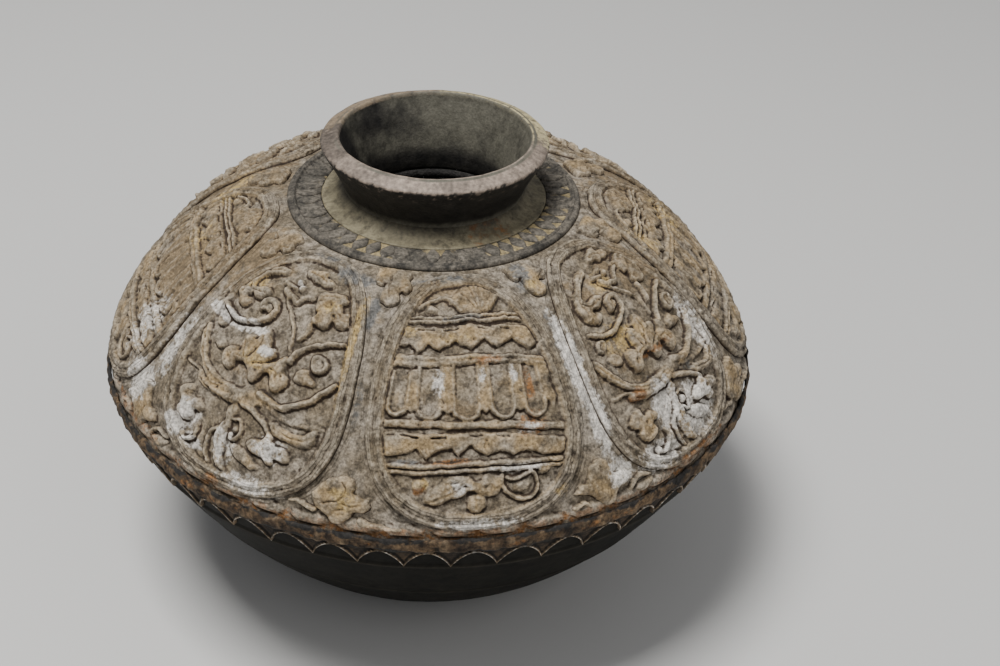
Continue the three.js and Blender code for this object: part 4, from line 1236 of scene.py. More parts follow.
ARCADE_MOTIFS: Design = (
    Plate(((13.9, -0.16), (16.2, -0.13), (16.2, 0.12), (15.4, 0.2), (13.9, 0.1)), 1.9, 0.7, False),
    Plate(((-2.8, -0.62), (-4, -0.665), (-5.4, -0.7), (-4.4, -0.77), (-2, -0.835), (0.4, -0.89),
        (3.6, -0.91), (6, -0.87), (8.4, -0.8), (9.4, -0.74), (7.6, -0.675), (6, -0.62), (1.5, -0.6)), 2),
    Stem(((-13, -0.66), (-9.5, -0.74), (-6, -0.755), (-2.6, -0.68)), 1.6, 1.9),
    Stem(((5.6, -0.66), (8.4, -0.735), (11.4, -0.745), (14.6, -0.66)), 1.8, 2.1),
    Knob(11.4, -0.665, 1.3, 1.8), Knob(-9.8, -0.655, 2, 2.2),
    Plate(((-9.4, 0.775), (-8.2, 0.7), (-6.4, 0.65), (-5.4, 0.6), (-3.6, 0.585), (-1.8, 0.6), (-0.4, 0.64),
        (1, 0.6), (3, 0.61), (4.2, 0.64), (3.8, 0.7), (3, 0.755), (1.4, 0.765), (-0.2, 0.735), (-1.6, 0.71),
        (-3, 0.745), (-4.6, 0.76), (-5.8, 0.79), (-7.6, 0.8)), 2.1),
    Stem(((3.8, 0.617), (4, 0.7), (5.6, 0.778), (7.6, 0.8), (9.2, 0.76), (9.6, 0.683), (8.8, 0.617),
        (7.6, 0.636), (6, 0.655), (4.8, 0.636)), 1.2, 2.3, 1),
    Plate(((5, 0.69), (6.4, 0.67), (8.2, 0.66), (8.6, 0.7), (8, 0.75), (6.6, 0.76), (5.4, 0.74)), 1.7),
    Plate(((10, 0.598), (11.4, 0.59), (12.4, 0.617), (11.4, 0.645), (10, 0.64)), 1.8, 0.8),
    Knob(-9.8, 0.664, 2.2, 2.1),
    Plate(((-2, 0.75), (-0.4, 0.725), (1, 0.76), (0.8, 0.835), (-0.6, 0.888), (-1.8, 0.845)), 2.4),
    Stem(((-12, 0.82), (-8, 0.86), (-4, 0.88)), 1.8, 1.6, 0.7),
    Stem(((3, 0.87), (7, 0.85), (11, 0.8)), 1.8, 1.6, 0.7),
)
ARCADE_CUTS: Design = (
    Furrow(((-6, -0.71), (-4.4, -0.68), (-2.8, -0.62)), 1.1, 2),
    Furrow(((6.4, -0.61), (8.4, -0.655), (11.2, -0.674), (13.4, -0.66), (14.8, -0.6)), 1.1, 2),
    Furrow(((-17, -0.237), (-8.7, -0.241), (0, -0.245), (8.7, -0.222), (17, -0.145)), depth=0.5),
    Furrow(((-12.2, -0.475), (-8.6, -0.485)), 1.1, 1.5), Furrow(((-6.4, -0.485), (-3, -0.49)), 1.1, 1.5),
    Furrow(((2, -0.485), (4.4, -0.48)), 1.1, 1.3), Furrow(((7.4, -0.465), (9.6, -0.455)), 1, 1.2),
    Furrow(((-15.6, 0.315), (-14.2, 0.315)), 1, 1.2), Furrow(((-13.2, 0.315), (-10.6, 0.32)), 1, 1.3),
    Furrow(((-8, 0.315), (-5.4, 0.32)), 1, 1.3), Furrow(((-1.2, 0.32), (0.8, 0.325)), 1, 1.3),
    Furrow(((3.6, 0.33), (6, 0.34)), 1, 1.3), Furrow(((-0.6, 0.77), (-0.6, 0.84)), 0.7, 0.8, 1),
    Furrow(((1.6, -0.64), (0.4, -0.72), (-1.4, -0.79))), Furrow(((2.2, -0.64), (1.8, -0.75), (1, -0.86))),
    Furrow(((2.8, -0.65), (3.4, -0.76), (4, -0.87))), Furrow(((3.4, -0.64), (5.4, -0.71), (7.2, -0.77))),
    Dish(-1.6, -0.7, 1.5, 0.6), Dish(4.2, -0.72), Dish(0.2, -0.82), Dish(5.6, -0.82),
    Furrow(((-8, 0.77), (-5, 0.725), (-2, 0.66)), depth=0.5),
    Furrow(((-5.6, 0.655), (-3.4, 0.64)), depth=0.5),
    Dish(-4, 0.67, 2, 0.7), Dish(1.6, 0.68, 1.5, 0.6), Dish(-1.4, 0.02, 3.2, 0.25), Dish(5.6, 0.02, 3, 0.25),
)
DROP_DESIGN: Design = (
    Plate(((-5.5, -1), (-5.2, -0.92), (-4.6, -0.87), (-3, -0.835), (-1.5, -0.85), (-1.4, -0.8),
        (-1.7, -0.74), (-0.6, -0.68), (1.3, -0.655), (3.4, -0.68), (4.3, -0.735), (3.8, -0.79), (4.4, -0.8),
        (6, -0.79), (7.3, -0.83), (7, -0.89), (5.8, -0.93), (6.4, -1), (0.5, -1.03)), 2.1),
    Furrow(((-3.8, -0.87), (-0.5, -0.85)), depth=0.7), Furrow(((3.4, -0.81), (5, -0.83), (6.2, -0.85))),
    Furrow(((0.2, -0.92), (0.6, -0.83), (1.2, -0.75))),
    Dish(-3.2, -0.93, 1.5), Dish(4.2, -0.92, 1.5), Dish(2.2, -0.72),
)
SCROLL_DESIGN: Design = (
    Plate(((-5.6, 0.8), (-4.6, 0.745), (-3.4, 0.69), (-1.6, 0.655), (0, 0.64), (1.2, 0.66), (1.6, 0.71),
        (1.4, 0.76), (2.4, 0.78), (3.8, 0.8), (4, 0.86), (3, 0.9), (1.6, 0.9), (0.8, 0.95), (-0.6, 1),
        (-2, 1), (-3, 0.95), (-4.4, 0.92), (-5.2, 0.865)), 2.2),
    Stem(((-5, 0.93), (-7, 0.9), (-9.3, 0.895)), 2.2, 1.8, 0.5, 0.3),
    Stem(((2.6, 0.96), (6, 0.99), (9.5, 1)), 2.4, 1.9, 0.5, 0.3),
    Furrow(((-3.4, 0.86), (-1.8, 0.83), (-0.4, 0.8), (0.2, 0.74), (-0.6, 0.69)), 0.9, 0.8),
    Furrow(((-0.2, 0.84), (1.2, 0.85), (2.6, 0.84)), 0.7),
    Furrow(((-2.4, 0.96), (-1.4, 0.9), (0.2, 0.88)), 0.7),
)
FAN_DESIGN: Design = (
    Plate(((-6, 0.86), (-4.6, 0.81), (-3.4, 0.8), (-2.8, 0.74), (-2.2, 0.68), (-0.6, 0.645), (0.8, 0.665),
        (1.4, 0.73), (2.2, 0.79), (3.8, 0.8), (5, 0.86), (3.8, 0.905), (2.4, 0.92), (1.4, 1), (-0.6, 1.01),
        (-1.6, 0.96), (-2.8, 0.9), (-4.2, 0.885)), 2.2),
    Stem(((4.6, 0.96), (6.6, 0.885), (9, 0.9)), 1.6, 1.8, 0.7),
    Plate(((4.6, 0.98), (6.4, 0.94), (8.4, 0.92), (9.8, 0.93), (9, 0.98), (7, 1.01)), 1.7),
    Stem(((-6, 0.97), (-4.4, 0.94), (-3, 0.98)), 1.8, 1.8, 0.6),
    Furrow(((-2.6, 0.8), (-2, 0.88), (-1.2, 0.97)), depth=0.7),
    Furrow(((1.6, 0.8), (1, 0.88), (0.2, 0.97)), depth=0.7), Furrow(((-0.7, 0.69), (-0.7, 0.8)), 0.7, 0.5),
)


@dataclass
class Relief:
    """Thin relief on the shoulder: its node, its grids, and how deep its back lies in the clay."""

    node: str
    azimuth: Grid
    distance: Grid
    height: Grid
    cell: float
    depth: float

    def finish(self, own_marks: Marks, material: Material) -> None:
        """Makes a piece of the relief, with its wear and stains.

        Args:
            own_marks: Marks that only this relief has.
            material: Finish of the relief.
        """
        front = wrapped(self.azimuth, *SHOULDER.lifted(self.distance, self.height))
        back = wrapped(self.azimuth, *SHOULDER.lifted(self.distance, -self.depth))
        mesh = sheet_mesh(self.node, front, back)
        marks = shade_and_wear_marks(self.height, self.cell)
        marks |= stain_weights(self.azimuth, self.distance, SHOULDER.radius_at(self.distance))
        store_marks(mesh, marks | own_marks)
        finish_piece(add_object(f"{self.node}_relief", mesh), self.node, material)


def store_marks(mesh: Mesh, marks: Marks) -> None:
    """Stores grids of marks in a mesh whose first points are the grid; the rest get 0."""
    for name, values in marks.items():
        every = np.zeros(len(mesh.vertices))
        every[: values.size] = values.ravel()
        set_values(mesh, name, every)


@dataclass
class CartouchePanel:
    """One raised cartouche, counted to the right from the front: a ribbed frame round its motifs.

    The frames are sections as (distance inwards, height) in millimetres, and the depths say how far
    the motifs of each design stand out.
    """

    place: int
    sizes: VaseSizes
    rows: int = 288
    columns: int = 192
    cell: float = 0.32 * MM
    ground: float = 0.35 * MM
    frames: ClassVar[dict[Cartouche, tuple[Spot, ...]]] = {
        Cartouche.ARCADE: ((-1, -0.4), (0, 0.1), (0.4, 1.3), (1, 1.9), (1.8, 1.8), (2.5, 1.35), (3.2, 1.75),
            (4, 2.05), (4.9, 1.8), (5.5, 1), (6.1, 0.35)),
        Cartouche.FOLIATE: ((-1, -0.4), (0, 0.1), (0.4, 1.3), (1, 1.9), (1.7, 1.75), (2.4, 1.3), (3, 1.7),
            (3.8, 2.05), (4.5, 1.75), (5, 0.95), (5.6, 0.35)),
    }
    designs: ClassVar[dict[Cartouche, tuple[Design, ...]]] = {
        Cartouche.ARCADE: (ARCADE_BARS, NICHES, ARCADE_MOTIFS, ARCADE_CUTS),
        Cartouche.FOLIATE: (FOLIATE_STEMS, FOLIATE_LEAVES, FOLIATE_FOOT, FOLIATE_CUTS),
    }
    depths: ClassVar[dict[Cartouche, float]] = {Cartouche.ARCADE: 0.93, Cartouche.FOLIATE: 1.18}

    def __post_init__(self) -> None:
        """Finds the design, the half width and the middle of the panel."""
        self.design = Cartouche.ARCADE if self.place % 2 == 0 else Cartouche.FOLIATE
        self.half = self.sizes.panel_half(self.place)
        self.azimuth = self.sizes.panel_azimuth(self.place)

    @property
    def node(self) -> str:
        """Name of the solid that this panel stands for."""
        return f"{self.design.value}_panel_{self.place // 2 + 1}"

    @property
    def field_edge(self) -> float:
        """Width of the frame."""
        return self.frames[self.design][-1][0] * MM

    def grid(self) -> tuple[Grid, Grid]:
        """Degrees and shares of a square grid that is drawn in to the outline of the cartouche."""
        across = np.linspace(-1, 1, self.columns + 1)[None, :]
        fall = np.linspace(-1, 1, self.rows + 1)[:, None]
        across, fall = np.broadcast_arrays(across, fall)
        power = self.sizes.panel_squareness
        rim = (np.abs(across) ** power + np.abs(fall) ** power) ** (1 / power)
        draw = np.maximum(np.abs(across), np.abs(fall)) / np.maximum(rim, 1e-9)
        return across * draw * self.half, fall * draw

    def inset(self, degrees: Grid, share: Grid) -> Grid:
        """Distance from the outline of the cartouche inwards."""
        power = self.sizes.panel_squareness
        width = math.radians(self.half) * SHOULDER.radius_at(down(share))
        across = np.abs(degrees / self.half)
        fall = np.abs(share)
        rim = np.maximum((across**power + fall**power) ** (1 / power), 1e-6)
        pull_across = (across / rim) ** (power - 1) / width
        pull_down = (fall / rim) ** (power - 1) / PANEL_HALF
        return (1 - rim) / np.maximum(np.hypot(pull_across, pull_down), 1e-6)

    def frame_height(self, inset: Grid) -> Grid:
        """Height of the ribbed frame at distances inwards from the outline."""
        across, height = zip(*self.frames[self.design])
        return np.interp(inset, np.array(across) * MM, np.array(height) * MM)

    def draw_pillars(self, canvas: ReliefCanvas) -> None:
        """Flat pillars that fill the gaps between the niches."""
        for left, right in zip(NICHES[:-1], NICHES[1:]):
            near, far = left.middle + left.half, right.middle - right.half
            middle = (near + far) / 2
            top = (left.top + right.top) / 2 - 0.01
            foot = (left.spring + right.spring) / 2 + 0.02
            corners = ((near, top), (far, top), (far, foot), (middle, foot + 0.03), (near, foot))
            Plate(corners, 2.05, 0.5, False).draw(canvas)
            Furrow(((middle, top + 0.03), (middle, foot)), 0.9, 0.35).draw(canvas)

    def build(self, material: Material) -> None:
        """Builds the panel and dresses it.

        Args:
            material: Finish of the relief.
        """
        degrees, share = self.grid()
        sizes, place = self.sizes, self.place
        lean = sizes.design_lean[place] * unit(-share) + sizes.design_shift[place]
        canvas = ReliefCanvas(degrees / sizes.panel_spread[place] - lean, share, self.ground, 3 * place)
        inset = self.inset(degrees, share)
        for strokes in self.designs[self.design]:
            for stroke in strokes:
                stroke.draw(canvas)
        if self.design is Cartouche.ARCADE:
            self.draw_pillars(canvas)
        inner = ramp(inset, self.field_edge - 1.0 * MM, self.field_edge)
        field = canvas.height * self.depths[self.design]
        height = np.maximum(self.frame_height(inset), field * inner - (1 - inner) * MM)
        distance = down(share)
        azimuth = self.azimuth + degrees
        flat = wrapped(azimuth, *SHOULDER.lifted(distance))
        height = softened(height, 1)
        wear = rough(flat, 11 * MM, 3 + self.place) * 0.5 + rough(flat, 3 * MM, 9) * 0.5
        chips = ramp(rough(flat, CHIP_SIZE, 23 + self.place, 3), 0.55, 1.0) * CHIP_DEPTH
        pits = rough(flat, PIT_SIZE, 17, 3) * PIT_DEPTH - chips * ramp(height, 0.9 * MM, 1.6 * MM)
        height = height * (1 - 0.22 * np.clip(wear, -0.4, 1)) + pits
        height = np.where(inset < 0.25 * MM, np.minimum(height, -0.25 * MM), height)
        raised = ramp(height, 0.8 * MM, 1.5 * MM) * ramp(inset, 4 * MM, 6 * MM)
        relief = Relief(self.node, azimuth, distance, height, self.cell, 0.9 * MM)
        relief.finish({"aside": inset / MM, "raised": raised}, material)


@dataclass
class Spandrel:
    """Two sprigs in the gap after a panel: a leaf under the ring and a palmette over the border."""

    place: int
    sizes: VaseSizes
    rows: int = 84
    columns: int = 72
    cell: float = 0.36 * MM
    bare: float = -0.35 * MM

    def __post_init__(self) -> None:
        """Finds the middles and half widths of the panels on both sides."""
        sizes = self.sizes
        after = (self.place + 1) % sizes.panel_count
        self.half_left = sizes.panel_half(self.place)
        self.half_right = sizes.panel_half(after)
        self.left = sizes.panel_azimuth(self.place)
        self.right = sizes.panel_azimuth(after) + (FULL_TURN if after == 0 else 0)
        self.middle = (self.left + self.half_left + self.right - self.half_right) / 2

    def free_half(self, share: Grid) -> Grid:
        """Half width in degrees of the gap between the two panels at a share."""
        power = self.sizes.panel_squareness
        curve = unit(1 - np.abs(share) ** power) ** (1 / power)
        left = self.left + self.half_left * curve
        right = self.right - self.half_right * curve
        return np.maximum(np.minimum(right - self.middle, self.middle - left), 0.25)

    def sprig(self, name: str, ends: Spot, widest: float, design: Design, material: Material) -> None:
        """Builds one sprig that fills its part of the gap.

        Args:
            name: Name of the node that it stands for.
            ends: Shares of its upper and lower end.
            widest: Largest half width in degrees.
            design: Strokes of its leaves.
            material: Finish of the relief.
        """
        top, bottom = ends
        across = np.linspace(-1, 1, self.columns + 1)[None, :]
        fall = np.linspace(top, bottom, self.rows + 1)[:, None]
        half = np.minimum(self.free_half(fall) * 0.97, widest)
        across, share, half = np.broadcast_arrays(across, fall, half)
        degrees = across * half
        canvas = ReliefCanvas(degrees, share, self.bare, 5 * self.place)
        for stroke in design:
            stroke.draw(canvas)
        edge = ramp(1 - np.abs(across), 0.0, 0.1)
        tips = ramp(np.minimum(share - top, bottom - share), 0.0, 0.012)
        drawn = np.maximum(softened(canvas.height, 1), self.bare)
        height = self.bare + (drawn - self.bare) * edge * tips
        distance = down(share)
        azimuth = self.middle + degrees
        flat = wrapped(azimuth, *SHOULDER.lifted(distance))
        height = height + np.where(height > 0, rough(flat, PIT_SIZE, 31 + self.place, 3) * PIT_DEPTH, 0)
        raised = ramp(height, 0.5 * MM, 1.2 * MM)
        relief = Relief(name, azimuth, distance, height, self.cell, 0.8 * MM)
        relief.finish({"aside": np.full(height.shape, FAR_ASIDE), "raised": raised}, material)

    def build(self, material: Material) -> None:
        """Builds both sprigs."""
        low_design = FAN_DESIGN if self.place % 2 == 0 else SCROLL_DESIGN
        self.sprig(f"upper_leaf_{self.place + 1}", (-1.03, -0.6), 7.5, DROP_DESIGN, material)
        self.sprig(f"lower_leaf_{self.place + 1}", (0.54, 1.03), 10.0, low_design, material)


@dataclass
class ShoulderShell:
    """Upper shell of the body, with its rough ground and the leaf row over the belly border."""

    sizes: VaseSizes
    columns: int = 640
    rows: int = 118
    inner_rows: int = 16
    leaf_count: int = 48

    def relief(self, azimuth: Grid, distance: Grid) -> Grid:
        """Height of the ground over the turned line."""
        share = share_of(distance)
        flat = wrapped(azimuth, *SHOULDER.lifted(distance))
        height = rough(flat, 6 * MM, 5, 4) * 0.22 * MM - 0.1 * MM
        turn = azimuth * self.leaf_count / FULL_TURN
        beat = np.abs((turn % 1) - 0.5) * 2
        reach = np.hypot(beat * 1.15, (share - 1.0) / 0.048)
        leaf = unit(1 - reach**2.2) ** 0.45
        height = height + 1.3 * MM * leaf
        calm = ramp(share, -1.06, -1.0) * ramp(share, 1.085, 1.05)
        return height * calm

    def frame_distance(self, azimuth: Grid, distance: Grid) -> Grid:
        """Distance in millimetres to the nearest panel, 0 inside a panel."""
        share = share_of(distance)
        nearest = np.full(azimuth.shape, np.inf)
        for place in range(self.sizes.panel_count):
            panel = CartouchePanel(place, self.sizes)
            inset = panel.inset(turn_between(azimuth, panel.azimuth), share)
            nearest = np.minimum(nearest, -inset / MM)
        return np.maximum(nearest, 0)

    def build(self, material: Material) -> None:
        """Builds the shell and dresses it."""
        azimuth = full_turn(self.columns)
        distance = np.linspace(0, SHOULDER.length, self.rows)[:, None]
        azimuth, distance = np.broadcast_arrays(azimuth, distance)
        height = self.relief(azimuth, distance)
        outer = wrapped(azimuth, *SHOULDER.lifted(distance, height))
        inner = section_rows(self.inner_section(), azimuth[0])
        mesh = turned_mesh("shoulder", np.concatenate((outer, inner)))
        marks = shade_and_wear_marks(height, SHOULDER.length / self.rows, around=True)
        marks.update(stain_weights(azimuth, distance, SHOULDER.radius_at(distance)))
        marks["aside"] = self.frame_distance(azimuth, distance)
        # Painted shade: the whole inside of the shell is painted near black.
        marks["smoke_and_shade"] = np.concatenate((np.zeros(height.shape), np.ones((len(inner), self.columns))))
        store_marks(mesh, marks)
        finish_piece(add_object("shoulder_shell", mesh), "shoulder", material)

    def inner_section(self) -> list[Spot]:
        """Section of the lap, the inside and the seat of the neck, from the belly up."""
        sizes = self.sizes
        lap_radius = sizes.belly_radius - sizes.shoulder_wall / 2
        lap_top = sizes.belly_height + sizes.lap_height
        wall = sizes.belly_radius - sizes.shoulder_wall
        section = [(lap_radius, sizes.belly_height), (lap_radius, lap_top), (wall, lap_top)]
        inside = np.linspace(SHOULDER.length * 0.86, SHOULDER.length * 0.02, self.inner_rows)
        radius, level = SHOULDER.lifted(inside, -sizes.shoulder_wall)
        section += [(min(r, wall - 0.4 * MM), z) for r, z in zip(radius, level)]
        bore = sizes.neck_waist - sizes.neck_wall
        seat = sizes.neck_waist + sizes.neck_foot_spread + sizes.luting
        seat_height = sizes.top_height - sizes.neck_seat_depth
        section += [(bore, sizes.top_height - sizes.shoulder_wall), (bore, seat_height)]
        return section + [(seat, seat_height), (seat, sizes.top_height)]


def section_rows(section: Sequence[Spot], azimuth: Grid) -> Grid:
    """Rows of points round the axis, one for each (radius, height) spot of a section."""
    radius, height = (np.array(values)[:, None] for values in zip(*section))
    return wrapped(azimuth[None, :], radius, height)


def rounded_section(corners: Sequence[Spot], spacing: float, rounding: int = 2) -> Grid:
    """Closed section with its corners worn round and its spots evenly spaced.

    Args:
        corners: Corners as (radius, height), in order.
        spacing: Distance between the spots.
        rounding: How many times every spot is mixed with its neighbours.

    Returns:
        The spots of the section.
    """
    given = np.array(corners, float)
    closed = np.vstack((given, given[:1]))
    steps = np.hypot(*np.diff(closed, axis=0).T)
    reached = np.concatenate(([0.0], np.cumsum(steps)))
    places = np.linspace(0, reached[-1], max(int(reached[-1] / spacing), 8), endpoint=False)
    spots = np.stack([np.interp(places, reached, closed[:, axis]) for axis in (0, 1)], axis=-1)
    for _ in range(rounding):
        spots = (np.roll(spots, 1, axis=0) + 2 * spots + np.roll(spots, -1, axis=0)) / 4
    return spots


def stepped_section(radius: float, height: float, steps: Sequence[Spot]) -> list[Spot]:
    """Corners of a section, given as steps outwards and upwards from one spot in millimetres."""
    return [(radius + out * MM, height + up * MM) for out, up in steps]


@dataclass
class TurnedPiece:
    """A closed ring of clay turned round the axis, with worn corners and a slightly uneven skin."""

    node: str
    slot: str
    corners: Sequence[Spot]
    spacing: float = 0.6 * MM
    columns: int = 300
    rounding: int = 2
    unevenness: float = 0.12 * MM
    bump_size: float = 5 * MM
    seed: int = 1
    paint: Optional[Painter] = None

    def build(self, material: Material) -> None:
        """Builds the ring and dresses it."""
        section = rounded_section(self.corners, self.spacing, self.rounding)
        before, after = np.roll(section, 1, axis=0), np.roll(section, -1, axis=0)
        run = after - before
        outward = np.stack((run[:, 1], -run[:, 0]), axis=-1)
        outward /= np.maximum(np.hypot(*outward.T)[:, None], 1e-9)
        if section_area(section) < 0:
            outward = -outward
        azimuth = full_turn(self.columns)
        radius, height = section[:, :1], section[:, 1:]
        flat = wrapped(azimuth, radius, height)
        lift = rough(flat, self.bump_size, self.seed, 3) * self.unevenness
        points = wrapped(azimuth, radius + outward[:, :1] * lift, height + outward[:, 1:] * lift)
        mesh = turned_mesh(self.node, points)
        marks = shade_and_wear_marks(lift, self.spacing, around=True)
        if self.paint is not None:
            marks.update(self.paint(azimuth, radius, height))
        store_marks(mesh, {name: np.broadcast_to(values, lift.shape) for name, values in marks.items()})
        finish_piece(add_object(f"{self.node}_clay", mesh), self.node, material)


def section_area(section: Grid) -> float:
    """Area of a closed section, above 0 where its spots run against the clock."""
    after = np.roll(section, -1, axis=0)
    return float((section[:, 0] * after[:, 1] - after[:, 0] * section[:, 1]).sum() / 2)


def neck_corners(sizes: VaseSizes) -> list[Spot]:
    """Section of the funnel neck with its broad lip, which slopes outwards."""
    top, rim = sizes.top_height, sizes.rim_height
    collar = top + sizes.collar_height
    seat = sizes.neck_waist + sizes.neck_foot_spread
    bore = sizes.neck_waist - sizes.neck_wall
    mouth = sizes.rim_radius - sizes.lip_width
    share = np.linspace(0, 0.97, 8)
    outside = sizes.neck_waist + (sizes.rim_radius - sizes.neck_waist) * share**1.25
    levels = collar + (rim - 3.2 * MM - collar) * share
    inside = bore + (mouth - bore) * share**1.4
    corners = [(seat, top - sizes.neck_seat_depth), (seat, top), (sizes.neck_waist, collar)]
    corners += list(zip(outside[1:], levels[1:]))
    corners += [(sizes.rim_radius, rim - 3.1 * MM), (sizes.rim_radius - 0.2 * MM, rim - 2.4 * MM)]
    corners += [(mouth + 0.6 * MM, rim), (mouth, rim - 0.5 * MM)]
    corners += list(zip(inside[::-1], (top + (rim - 1.4 * MM - top) * share)[::-1]))
    corners += [(bore, top - sizes.neck_seat_depth)]
    return corners


def facing(azimuth: Grid, middle: float, half: float) -> Grid:
    """Soft weight round an azimuth, 1 at the middle and 0 farther than the half width."""
    return ramp(half - np.abs(turn_between(azimuth, middle)), 0, half * 0.6)


def neck_marks(azimuth: Grid, radius: Grid, height: Grid) -> Marks:
    """Pale lip with its yellow and earthy parts, specks under it, and the olive inside and foot; the olive
    inside gives way to painted shade on the left and deep down.
    """
    sizes = SIZES
    flat = wrapped(azimuth, radius, height)
    edge = rough(flat, 1.3 * MM, 71, 4) * 0.7 * MM
    below = sizes.rim_height - height
    mouth = sizes.rim_radius - sizes.lip_width
    share = unit((height - sizes.top_height) / sizes.neck_height)
    wall = sizes.neck_waist - sizes.neck_wall / 2 + (mouth - sizes.neck_waist + sizes.neck_wall) * share
    lip = ramp(3.3 * MM - below + edge, 0, 0.5 * MM) * (radius > mouth - 0.2 * MM)
    inside = (radius < wall) & (below > 0.3 * MM)
    grey = 0.72 + 0.22 * rough(flat, 5 * MM, 73, 3) + 0.3 * bumps(flat, 0.9 * MM, 79)
    dark_left = 1 - 0.65 * facing(azimuth, -120, 85)
    yellow = facing(azimuth, 130, 75)
    specks = ramp(rough(flat, 1.1 * MM, 75, 3), 0.5, 0.85) * ramp(9 * MM - below, 0, 6 * MM)
    # Less olive on the left and in the lowest part of the inside, where the black shows as painted shade.
    cloud = 0.62 + 0.3 * rough(flat, 11 * MM, 77, 4) - 0.4 * facing(azimuth, -100, 80)
    olive = inside * unit(cloud) * ramp(height - sizes.top_height, 0, 9 * MM)
    foot = sizes.top_height + sizes.collar_height + 3.5 * MM
    olive = olive + 0.75 * (1 - inside) * ramp(foot - height, 0, 4 * MM)
    rubbed = lip * grey * dark_left * (1 - 0.8 * yellow)
    return {
        "crest": np.maximum(rubbed, 0.55 * specks * (1 - inside)),
        "ochre": np.clip(0.95 * lip * yellow, 0, 1.2),
        "earth": unit(0.95 * lip * facing(azimuth, -150, 90)),
        "hollow": olive,
    }


def collar_marks(azimuth: Grid, radius: Grid, height: Grid) -> Marks:
    """Soot over the upper part of the fillet, heavier on its front where it is partly painted shade, its
    reddish spots and its yellow patch.
    """
    sizes = SIZES
    flat = wrapped(azimuth, radius, height)
    rise = (height - sizes.top_height) / sizes.collar_height + 0.16 * rough(flat, 6 * MM, 81, 3)
    # Heavier on the front: sooting and painted shade.
    front = 0.55 + 0.45 * facing(azimuth, 0, 130)
    return {
        "smoke_and_shade": 0.66 * ramp(rise, 0.4, 1.1) * front,
        "rust": 0.62 * facing(azimuth, 33, 26) * ramp(rise, 0.1, 0.4),
        "ochre": 0.6 * facing(azimuth, -60, 70) * ramp(0.5 - rise, 0, 0.4),
    }


def ring_marks(azimuth: Grid, radius: Grid, height: Grid) -> Marks:
    """Yellow patches of the ring, and small dark crescents at the tips of its scales: painted shadow under
    the collar and against the rib.
    """
    sizes = SIZES
    beat = (azimuth * sizes.ring_scales / FULL_TURN) % 1
    at_tip = ramp(np.abs(beat - 0.5), 0.25, 0.42)
    inner = beside(radius - sizes.collar_radius - 0.9 * MM, 0.6 * MM)
    outer = beside(radius - sizes.top_radius + 3.2 * MM, 0.4 * MM)
    field = ramp(sizes.top_radius - 3 * MM - radius, 0, 0.6 * MM)
    patches = 0.16 + unit(rough(wrapped(azimuth, radius, height), 9 * MM, 83, 3))
    patches = patches + facing(azimuth, -30, 16) + facing(azimuth, 52, 34)
    return {
        "ochre": 1.1 * field * patches * (1 - at_tip),
        # Painted shadow at the scale tips.
        "soot": 1.3 * at_tip * np.maximum(inner, 0.8 * outer),
    }


def border_marks(azimuth: Grid, radius: Grid, height: Grid) -> Marks:
    """Soot and painted shade along both edges of the belly border, where it meets the shoulder and the
    frieze, and rust along its middle.
    """
    flat = wrapped(azimuth, radius, height)
    aside = np.abs(height - SIZES.belly_height + BORDER_DROP) + 1.1 * MM * rough(flat, 5 * MM, 91, 4)
    cloud = 0.8 + 0.5 * rough(flat, 9 * MM, 93, 3)
    return {
        # Darker towards both edges: sooting and painted shade in the joints.
        "soot": 0.95 * ramp(aside, 0.7 * MM, 2.2 * MM),
        "rust": 0.6 * ramp(1.8 * MM - aside, 0, 1.4 * MM) * cloud,
    }


def collar_corners(sizes: VaseSizes) -> list[Spot]:
    """Section of the hollow fillet at the foot of the neck."""
    top = sizes.top_height
    inner = sizes.neck_waist + sizes.neck_foot_spread + sizes.luting
    waist = sizes.neck_waist + sizes.luting
    share = np.linspace(0, 1, 8)
    radius = sizes.collar_radius + 0.3 * MM - (sizes.collar_radius - waist - 0.1 * MM) * share
    height = top + 1.5 * MM + (sizes.collar_height - 1.7 * MM) * share**2.1
    corners = [(sizes.collar_radius - 0.5 * MM, top), (sizes.collar_radius + 0.4 * MM, top + 1.2 * MM)]
    corners += list(zip(radius, height))
    tip = sizes.neck_waist - 0.4 * MM
    corners += [(tip, top + sizes.collar_height + 0.3 * MM), (inner, top + 0.2 * MM), (inner, top)]
    return corners


def ring_corners(sizes: VaseSizes) -> list[Spot]:
    """Section of the flat ring with its double rib at the edge."""
    top = sizes.top_height
    inner = stepped_section(sizes.collar_radius + sizes.luting, top, ((0, 0), (0, 1.3)))
    ribs = ((-3.0, 1.3), (-2.6, 2.1), (-2.1, 2.1), (-1.7, 1.3), (-1.3, 1.8), (-0.5, 1.6), (0, 0.7), (0, 0))
    return inner + stepped_section(sizes.top_radius, top, ribs)


def foot_corners(sizes: VaseSizes) -> list[Spot]:
    """Section of the low ring under the bowl."""
    inner = sizes.foot_radius - sizes.foot_width
    return [
        (inner, sizes.foot_height),
        *stepped_section(inner, 0.0, ((0.4, 1.2), (1.6, 0))),
        *stepped_section(sizes.foot_radius, 0.0, ((-1.6, 0), (-0.2, 1.4))),
        (sizes.foot_radius - 0.3 * MM, sizes.foot_height),
    ]


def seam_corners(sizes: VaseSizes) -> list[Spot]:
    """Section of the flattened coil over the seam, inside the belly."""
    wall = sizes.belly_radius - max(sizes.shoulder_wall, sizes.bowl_wall) - 2 * sizes.luting
    middle = sizes.belly_height + sizes.lap_height / 2
    steps = ((-1.6, -8.6), (-0.3, 0), (-1.6, 8.6), (-4.0, 4.5), (-4.8, 0), (-4.0, -4.5))
    return stepped_section(wall, middle, steps)


